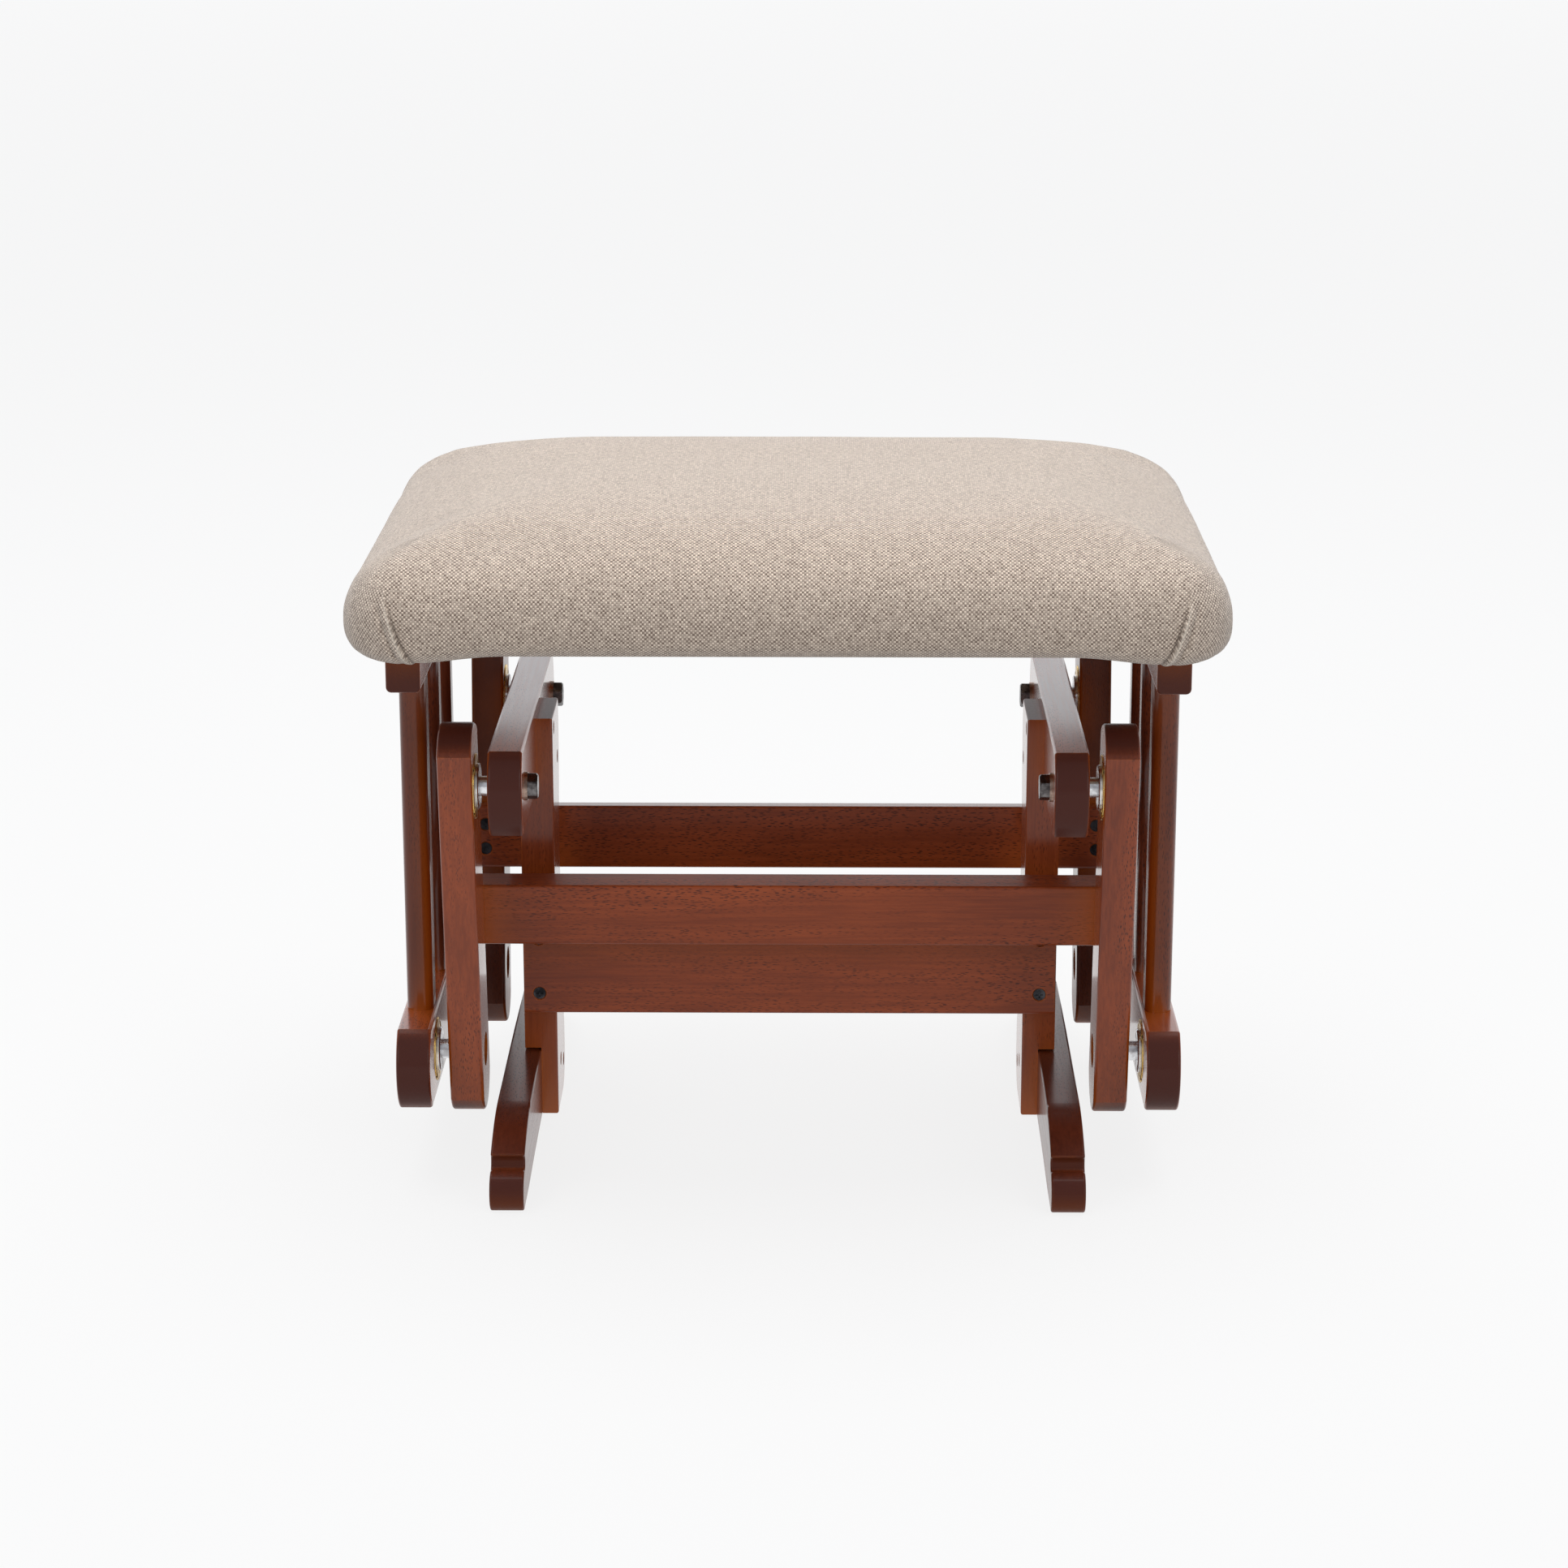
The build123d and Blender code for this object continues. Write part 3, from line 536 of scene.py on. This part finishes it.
def apply_modifiers(piece):
    """Keeps what the piece's modifiers make of it, and drops the modifiers."""
    graph = bpy.context.evaluated_depsgraph_get()
    made = bpy.data.meshes.new_from_object(piece.evaluated_get(graph))
    old = piece.data
    piece.modifiers.clear()
    piece.data = made
    bpy.data.meshes.remove(old)


def points_of(piece):
    flat_list = np.empty(len(piece.data.vertices) * 3)
    piece.data.vertices.foreach_get("co", flat_list)
    return flat_list.reshape(-1, 3)


def set_points(piece, places):
    piece.data.vertices.foreach_set("co", places.ravel())
    piece.data.update()


net_size = 6 * mm
remesh = cushion.modifiers.new("net", "REMESH")
remesh.mode = "VOXEL"
remesh.voxel_size = net_size
apply_modifiers(cushion)
before = points_of(cushion)
print("net:", len(before), "points")

cap = 3 * mm
swell_steps = 20
held = cushion.vertex_groups.new(name="held")
underside = [int(i) for i in np.nonzero(before[:, 2] < rest_z + 2.0 * mm)[0]]
held.add(underside, 1.0, "REPLACE")
swell = cushion.modifiers.new("swell", "CLOTH")
swell.settings.quality = 5
swell.settings.mass = 0.3
swell.settings.tension_stiffness = 15
swell.settings.compression_stiffness = 15
swell.settings.shear_stiffness = 5
swell.settings.bending_stiffness = 0.5
swell.settings.use_pressure = True
swell.settings.uniform_pressure_force = 4.0
swell.settings.vertex_group_mass = "held"
swell.settings.effector_weights.gravity = 0.0
swell.collision_settings.use_collision = False
for step in range(1, swell_steps + 1):
    scene.frame_set(step)
apply_modifiers(cushion)
scene.frame_set(1)
after = points_of(cushion)
moved = after - before
far = np.linalg.norm(moved, axis=1)
print("cloth moved it up to", round(far.max() / mm, 1), "mm")
allowed = cap * np.tanh(far / cap)
after = before + moved * (allowed / np.maximum(far, 1e-9))[:, None]
set_points(cushion, after)
calm = cushion.modifiers.new("calm", "SMOOTH")
calm.factor = 0.5
calm.iterations = 12
apply_modifiers(cushion)
cushion.vertex_groups.clear()

# %% Fit to the CAD cushion and smooth


def fit_to_box(piece):
    places = points_of(piece)
    low, high = places.min(axis=0), places.max(axis=0)
    want_low = np.array([-half_wide, -half_deep, rest_z])
    want_high = np.array([half_wide, half_deep, crown_z])
    places = want_low + (places - low) / (high - low) * (want_high - want_low)
    set_points(piece, places)


fit_to_box(cushion)
finer = cushion.modifiers.new("finer", "SUBSURF")
finer.levels = finer.render_levels = 1
apply_modifiers(cushion)
fit_to_box(cushion)
print("cushion net:", len(cushion.data.vertices), "points")

# %% [markdown]
# ## Folded corners
# The cover is one flat cloth, so at each corner it has too much to turn under. The upholsterer pulls the
# side's cloth round the corner and folds the spare under it. What shows is one curved fold low on the front
# and back faces, with a thin bright lip, a dark gap beside it, and a second, softer fold outside it. The net
# is made finer along the fold, and its points are pushed out on one side of the line and in on the other.
# Each point also keeps a tint of painted light: above zero a painted highlight on the lip, below zero a
# painted shadow in the gap.

# %% Fold line and finer net
fold_top_z = rest_z + 37 * mm
fold_drop = 38 * mm
fold_top_x = half_wide - 26.5 * mm
fold_sweep = 15 * mm


def fold_x(z):
    """How far from the middle the fold is at height z, on the front and back faces."""
    share = np.clip((fold_top_z - z) / fold_drop, 0.0, 1.15)
    return fold_top_x - fold_sweep * share**1.9


def smooth_share(value, low, high):
    t = np.clip((value - low) / (high - low), 0.0, 1.0)
    return t * t * (3 - 2 * t)


net = bmesh.new()
net.from_mesh(cushion.data)
for cuts in (2, 1):
    near = []
    for edge in net.edges:
        middle = (edge.verts[0].co + edge.verts[1].co) / 2
        off = abs(abs(middle.x) - fold_x(middle.z))
        reach = (14 if cuts == 2 else 9) * mm
        if abs(middle.y) > half_deep - 40 * mm and middle.z < fold_top_z + 6 * mm and off < reach:
            if middle.z > rest_z + 0.5 * mm or abs(middle.y) > half_deep - 22 * mm:
                near.append(edge)
    bmesh.ops.subdivide_edges(net, edges=near, cuts=cuts, use_grid_fill=True, smooth=0.0)
bmesh.ops.triangulate(net, faces=[f for f in net.faces if len(f.verts) > 4])
bmesh.ops.recalc_face_normals(net, faces=net.faces)
net.to_mesh(cushion.data)
net.free()
print("finer net:", len(cushion.data.vertices), "points")

# %% Shape the folds
lip_out, gap_in, second_in = 1.9, 1.9, 1.4
places = points_of(cushion)
normals = np.empty(len(cushion.data.vertices) * 3)
cushion.data.vertices.foreach_get("normal", normals)
normals = normals.reshape(-1, 3)
x_out, y_out, z_now = np.abs(places[:, 0]), np.abs(places[:, 1]), places[:, 2]

beside = (x_out - fold_x(z_now)) / mm
on_face = smooth_share(y_out, half_deep - 34 * mm, half_deep - 22 * mm)
below_top = smooth_share(fold_top_z + 2 * mm - z_now, 0.0, 24 * mm)
strength = on_face * below_top
raised = lip_out * np.exp(-np.clip(beside, 0, None) / 9.0)
sunk = -gap_in * np.exp(np.clip(beside, None, 0) / 4.5)
lip = np.where(beside > 0, raised, sunk) * smooth_share(np.abs(beside), -0.9, 0.35)
at_rim = 0.25 + 0.75 * smooth_share(z_now, rest_z + 0.5 * mm, rest_z + 7 * mm)
second_fold = -second_in * np.exp(-(((beside - 4.9) / 1.7) ** 2))
second_fold *= smooth_share(fold_top_z - z_now, 2 * mm, 12 * mm)
push = strength * at_rim * (lip + second_fold) * mm
# Painted light on the folds: a painted highlight along the lip and a painted shadow in the gap and the second
# fold.
painted_lip_highlight = np.exp(-(((beside - 0.7) / 0.65) ** 2))
painted_gap_shadow = np.exp(-(((beside + 0.9) / 0.8) ** 2)) + 0.35 * np.exp(-(((beside - 4.9) / 1.2) ** 2))
fold_painted_light = strength * (painted_lip_highlight - painted_gap_shadow)
print("folds push", round(push.min() / mm, 2), "to", round(push.max() / mm, 2), "mm")

# %% Droop the shoulders and roughen the stuffing
shoulder_droop = 4.4 * mm
lumps = 0.55 * mm
shoulder = smooth_share(x_out, half_wide - 125 * mm, half_wide - 42 * mm)
crown_share = smooth_share(z_now, rest_z + 34 * mm, rest_z + 66 * mm)
places[:, 2] -= shoulder_droop * shoulder * crown_share
uneven = np.array([noise.noise(Vector(p) * 14.0) for p in places]) * lumps
above = smooth_share(z_now, rest_z + 6 * mm, rest_z + 20 * mm)
places = places + normals * (push + uneven * above)[:, None]
print("stuffing is uneven by", round(float(np.abs(uneven * above).max() / mm), 2), "mm")

# %% Sag the rim and lift the underside
rim_sag = 4.8 * mm
underside_lift = 2.5 * mm
lip_under = 0.9 * mm
past_side = smooth_share(x_out, half_wide - 19 * mm, half_wide - 9 * mm)
past_end = smooth_share(y_out, half_deep - 40 * mm, half_deep - 24 * mm) * smooth_share(x_out, 0.15, 0.21)
overhang = np.maximum(past_side, past_end)
low_rim = 1.0 - smooth_share(z_now, rest_z + 4 * mm, rest_z + 22 * mm)
places[:, 2] -= rim_sag * overhang * low_rim
inner_share = smooth_share(half_wide - x_out, 26 * mm, 30 * mm)
inner_share *= smooth_share(half_deep - y_out, 26 * mm, 30 * mm)
underside_share = 1.0 - smooth_share(z_now, rest_z + 1.0 * mm, rest_z + 3.0 * mm)
places[:, 2] += underside_lift * inner_share * underside_share
rim_inset = np.minimum(half_wide - x_out, half_deep - y_out)
under_rim = smooth_share(rim_inset, 4 * mm, 9 * mm) * (1.0 - smooth_share(rim_inset, 17 * mm, 23 * mm))
places[:, 2] -= lip_under * under_rim * (1.0 - smooth_share(z_now, rest_z + 1.5 * mm, rest_z + 5 * mm))
set_points(cushion, places)
cushion.data.attributes.new("fold_painted_light", "FLOAT", "POINT").data.foreach_set("value", fold_painted_light)
for face in cushion.data.polygons:
    face.use_smooth = True
print("cushion spans", np.round(places.min(axis=0) / mm, 1), "to", np.round(places.max(axis=0) / mm, 1))

# %% [markdown]
# ## How the cloth runs
# The threads run straight over the top and down each side, and meet at the folds. To lay the weave that
# way, each face gets two lengths: how far it is across the cloth and how far along. On the top these are
# plain x and y. Over an edge the length is measured round the curve, so the weave isn't squashed there.
# They are stored as the cushion's own UV map, in metres, after the net is final.

# %% Cloth map
bend_start = 62 * mm
hub_z = rest_z + 32 * mm
section = BVHTree.FromObject(cushion, bpy.context.evaluated_depsgraph_get())
angles = np.radians(np.linspace(90, -90, 61))
hub = Vector((0.0, half_deep - bend_start, hub_z))
hits = []
for angle in angles:
    ray = Vector((0.0, math.cos(angle), math.sin(angle)))
    hits.append(section.ray_cast(hub, ray)[0])
steps = [0.0] + [(b - a).length for a, b in zip(hits, hits[1:])]
run_round = np.cumsum(steps)
print("cloth runs", round(run_round[-1] / mm), "mm from the crown's edge to under the rim")


def length_over(out, z, start):
    """How far along the cloth a point is, from the middle, when it lies out from the middle at height z."""
    angle = np.arctan2(z - hub_z, out - start)
    round_edge = start + np.interp(-angle, -angles, run_round)
    under = start + run_round[-1] + (start - out)
    return np.where(out >= start, round_edge, np.where(z > hub_z, out, under))


mesh = cushion.data
corner_index = np.empty(len(mesh.loops), dtype=np.int32)
mesh.loops.foreach_get("vertex_index", corner_index)
face_middle = np.empty(len(mesh.polygons) * 3)
mesh.polygons.foreach_get("center", face_middle)
face_middle = face_middle.reshape(-1, 3)
face_size = np.empty(len(mesh.polygons), dtype=np.int32)
mesh.polygons.foreach_get("loop_total", face_size)
mid_x, mid_y, mid_z = np.abs(face_middle[:, 0]), np.abs(face_middle[:, 1]), face_middle[:, 2]
turn_x, turn_y = half_wide - loaf_corner, half_deep - loaf_corner
past_fold = (mid_y > turn_y) & (mid_x > fold_x(mid_z))
past_diagonal = (mid_x - turn_x) > (mid_y - turn_y)
side_face = np.where(mid_z < fold_top_z, past_fold | ((mid_y <= turn_y) & past_diagonal), past_diagonal)
side = np.repeat(side_face, face_size)
spot = points_of(cushion)[corner_index]
sx, sy = np.sign(spot[:, 0]), np.sign(spot[:, 1])
sx[sx == 0], sy[sy == 0] = 1, 1
out_x, out_y, up = np.abs(spot[:, 0]), np.abs(spot[:, 1]), spot[:, 2]
in_corner = (out_x > turn_x) & (out_y > turn_y)
reach = np.hypot(out_x - turn_x, out_y - turn_y)
swing = np.arctan2(out_y - turn_y, np.maximum(out_x - turn_x, 1e-6))
side_out = np.where(in_corner, turn_x + reach, out_x)
side_along = np.where(in_corner, turn_y + loaf_corner * swing, out_y)
cloth_u = np.where(side, sx * length_over(side_out, up, half_wide - bend_start), spot[:, 0])
cloth_v = np.where(side, sy * side_along, sy * length_over(out_y, up, half_deep - bend_start))
cloth_map = mesh.uv_layers.new(name="cloth")
cloth_map.data.foreach_set("uv", np.column_stack([cloth_u, cloth_v]).ravel())
cloth_size = [round(float(np.ptp(lengths)), 3) for lengths in (cloth_u, cloth_v)]
print("cloth map in metres:", cloth_size)

# %% [markdown]
# ## Woven cover
# The cloth is a plain weave of thick, slubby yarns, cream one way and taupe the other. Where a cream yarn
# passes over, a pale dot shows; where it dives, a dark one. So the dots make a checkerboard that reads as
# slanting rows. Each dot is a little pillow in the bump, and each has its own shade, since the yarn is spun
# from mixed fibres. The weave is a node group, so that the hem under the seat can use it too.

# %% Weave group and cloth material
weave, weave_in, weave_out = new_group(
    "plain_weave",
    [("Place", VECTOR, None), ("Yarn", VALUE, 1.15 * mm), ("Cream", COLOUR, (0.85, 0.716, 0.592, 1)),
     ("Taupe", COLOUR, (0.200, 0.146, 0.115, 1)), ("Gap", COLOUR, (0.14, 0.105, 0.08, 1))],
    [("Color", COLOUR), ("Height", VALUE)],
)
wander = add(weave, "ShaderNodeTexNoise", Vector=weave_in.outputs["Place"], Scale=160.0, Detail=2.0)
wander_off = add(weave, "ShaderNodeVectorMath", {"operation": "MULTIPLY_ADD"}, _0=wander.outputs["Color"],
                 _1=(0.9 * mm, 0.9 * mm, 0.0), _2=weave_in.outputs["Place"])
per_yarn = maths(weave, "DIVIDE", 1.0, weave_in.outputs["Yarn"])
counted_place = add(weave, "ShaderNodeVectorMath", {"operation": "SCALE"}, _0=wander_off.outputs[0],
                    Scale=per_yarn)
split = add(weave, "ShaderNodeSeparateXYZ", _0=counted_place.outputs[0])
wave_u = maths(weave, "SINE", maths(weave, "MULTIPLY", split.outputs["X"], math.pi))
wave_v = maths(weave, "SINE", maths(weave, "MULTIPLY", split.outputs["Y"], math.pi))
both = maths(weave, "MULTIPLY", wave_u, wave_v)
cream_over = remap(weave, both, -0.12, 0.12)
pillow = maths(weave, "POWER", maths(weave, "ABSOLUTE", both), 0.5)
yarn_cell = add(weave, "ShaderNodeVectorMath", {"operation": "FLOOR"}, _0=counted_place.outputs[0])
yarn_shade = add(weave, "ShaderNodeTexWhiteNoise", {"noise_dimensions": "3D"}, Vector=yarn_cell.outputs[0])
patch = add(weave, "ShaderNodeTexNoise", Vector=weave_in.outputs["Place"], Scale=320.0, Detail=3.0,
            Roughness=0.65)
blend_share = maths(weave, "MULTIPLY_ADD", yarn_shade.outputs["Value"], 0.42,
                    maths(weave, "MULTIPLY_ADD", cream_over, 0.62, -0.02))
blend_share = maths(weave, "ADD", blend_share, remap(weave, patch.outputs[0], 0.3, 0.7, -0.05, 0.05))
yarn_colour = mix(weave, blend_share, weave_in.outputs["Taupe"], weave_in.outputs["Cream"])
gap_share = remap(weave, pillow, 0.05, 0.55, 0.55, 0.0)
weave.links.new(mix(weave, gap_share, yarn_colour, weave_in.outputs["Gap"]), weave_out.inputs["Color"])
yarn_height = maths(weave, "MULTIPLY_ADD", yarn_shade.outputs["Value"], 0.25, pillow)
weave.links.new(yarn_height, weave_out.inputs["Height"])
print("weave group has", len(weave.nodes), "nodes")

# %% Cloth material


def cloth(name, map_name=None):
    made = bpy.data.materials.new(name)
    made.use_nodes = True
    tree = made.node_tree
    shader = tree.nodes["Principled BSDF"]
    if map_name:
        place = add(tree, "ShaderNodeUVMap", {"uv_map": map_name}).outputs[0]
    else:
        place = add(tree, "ShaderNodeTexCoord").outputs["Object"]
    woven = add(tree, "ShaderNodeGroup", {"node_tree": weave}, Place=place)
    # The fold tint paints a highlight on the lip and a shadow in the gap.
    fold = add(tree, "ShaderNodeAttribute", {"attribute_name": "fold_painted_light"}).outputs["Fac"]
    highlight_share = maths(tree, "MULTIPLY", maths(tree, "MAXIMUM", fold, 0.0), 0.6)
    gap = maths(tree, "MULTIPLY", fold, -1.0)
    shadow_share = maths(tree, "MULTIPLY", maths(tree, "MAXIMUM", gap, 0.0), 0.6)
    colour = mix(tree, highlight_share, woven.outputs["Color"], (0.90, 0.81, 0.69, 1))
    colour = mix(tree, shadow_share, colour, (0.11, 0.08, 0.062, 1))
    tree.links.new(colour, shader.inputs["Base Color"])
    bump = add(tree, "ShaderNodeBump", Height=woven.outputs["Height"], Distance=0.28 * mm, Strength=0.8)
    tree.links.new(bump.outputs[0], shader.inputs["Normal"])
    shader.inputs["Roughness"].default_value = 0.92
    shader.inputs["Specular IOR Level"].default_value = 0.25
    shader.inputs["Sheen Weight"].default_value = 0.42
    shader.inputs["Sheen Roughness"].default_value = 0.45
    return made


cover_cloth = cloth("woven_cover", "cloth")
hem_cloth = cloth("woven_hem")
cushion.data.materials.clear()
cushion.data.materials.append(cover_cloth)
print("cloth materials ready")

# %% [markdown]
# ## Hem under the seat
# The cover's edge is turned under the plywood, about two inches in, and its cut edge wanders a little. It is
# a thin flat ring with a soft, uneven inner edge, built as two rings of points and thickened by Solidify.

# %% Hem
hem_outside = 24 * mm
hem_inside = 56 * mm
hem_thick = 0.6 * mm
hem_around = 320
hem_points, hem_faces = [], []
hem_rows = 5
for row in range(hem_rows):
    share = row / (hem_rows - 1)
    inset = hem_outside + (hem_inside - hem_outside) * share
    for i in range(hem_around):
        turn = i / hem_around
        angle = 2 * math.pi * turn
        ragged = noise.noise(Vector((math.cos(angle) * 6, math.sin(angle) * 6, 0.0)))
        x, y = ring_point(turn, inset + share * ragged * 3 * mm)
        hem_points.append((x, y, rest_z - 0.05 * mm))
for row in range(hem_rows - 1):
    for i in range(hem_around):
        j = (i + 1) % hem_around
        a, b = row * hem_around, (row + 1) * hem_around
        hem_faces.append((a + i, b + i, b + j, a + j))
hem = mesh_object("cushion_hem", hem_points, hem_faces)
thick = hem.modifiers.new("thick", "SOLIDIFY")
thick.thickness = hem_thick
thick.offset = 1.0
apply_modifiers(hem)
hem.data.materials.clear()
hem.data.materials.append(hem_cloth)
print("hem:", len(hem.data.polygons), "faces")

# %% [markdown]
# ## Staples
# Wide crown staples hold the hem to the plywood, a thumb's width apart. They are all alike and follow one
# path, so Geometry Nodes set them out: the path is cut into even steps, one staple goes on each, turned to
# lie along it, and each is tilted slightly, as a hand-held gun leaves them.

# %% Staple path and staple nodes
staple_inset = 49 * mm
path_points = [ring_point(i / 160, staple_inset) for i in range(160)]
path_mesh = bpy.data.meshes.new("staples")
path_mesh.from_pydata([(x, y, rest_z - hem_thick - 0.30 * mm) for x, y in path_points],
                      [(i, (i + 1) % 160) for i in range(160)], [])
staples = bpy.data.objects.new("staples", path_mesh)
scene.collection.objects.link(staples)

tree = bpy.data.node_groups.new("set_out_staples", "GeometryNodeTree")
for title, kind in (("Path", "NodeSocketGeometry"), ("Spacing", VALUE), ("Crown", VALUE), ("Wire", VALUE),
                    ("Tilt", VALUE)):
    tree.interface.new_socket(title, in_out="INPUT", socket_type=kind)
tree.interface.new_socket("Staples", in_out="OUTPUT", socket_type="NodeSocketGeometry")
given, result = tree.nodes.new("NodeGroupInput"), tree.nodes.new("NodeGroupOutput")
line = add(tree, "GeometryNodeMeshToCurve", Mesh=given.outputs["Path"])
stops = add(tree, "GeometryNodeCurveToPoints", {"mode": "LENGTH"}, Curve=line.outputs[0],
            Length=given.outputs["Spacing"])
size = add(tree, "ShaderNodeCombineXYZ", X=given.outputs["Wire"], Y=given.outputs["Wire"],
           Z=given.outputs["Crown"])
bar = add(tree, "GeometryNodeMeshCube", Size=size.outputs[0])
jitter = add(tree, "FunctionNodeRandomValue", {"data_type": "FLOAT"}, Seed=7)
tree.links.new(maths(tree, "MULTIPLY", given.outputs["Tilt"], -1.0), jitter.inputs[2])
tree.links.new(given.outputs["Tilt"], jitter.inputs[3])
spin = add(tree, "ShaderNodeCombineXYZ", Z=jitter.outputs[1])
turned = add(tree, "FunctionNodeRotateRotation", {"rotation_space": "GLOBAL"},
             Rotation=stops.outputs["Rotation"], Rotate_By=spin.outputs[0])
placed = add(tree, "GeometryNodeInstanceOnPoints", Points=stops.outputs["Points"],
             Instance=bar.outputs["Mesh"], Rotation=turned.outputs[0])
real = add(tree, "GeometryNodeRealizeInstances", Geometry=placed.outputs[0])
painted = add(tree, "GeometryNodeSetMaterial", Geometry=real.outputs[0], Material=bright_steel)
tree.links.new(painted.outputs[0], result.inputs[0])

setting_out = staples.modifiers.new("set_out", "NODES")
setting_out.node_group = tree
amounts = {"Spacing": 27 * mm, "Crown": 9 * mm, "Wire": 0.7 * mm, "Tilt": math.radians(7)}
for item in tree.interface.items_tree:
    if item.in_out == "INPUT" and item.name in amounts:
        setting_out[item.identifier] = amounts[item.name]
apply_modifiers(staples)
print("staples:", len(staples.data.polygons) // 6)

# %% [markdown]
# ## Hand over
# The cushion, its hem and the staples move with the seat. The cushion stands for the CAD cover and foam,
# which stay in the simulation as solids.

# %% Ride with the seat, hide the CAD cushion
for piece in (cushion, hem, staples):
    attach(piece, "seat")
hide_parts("cushion_cover", "cushion_foam")
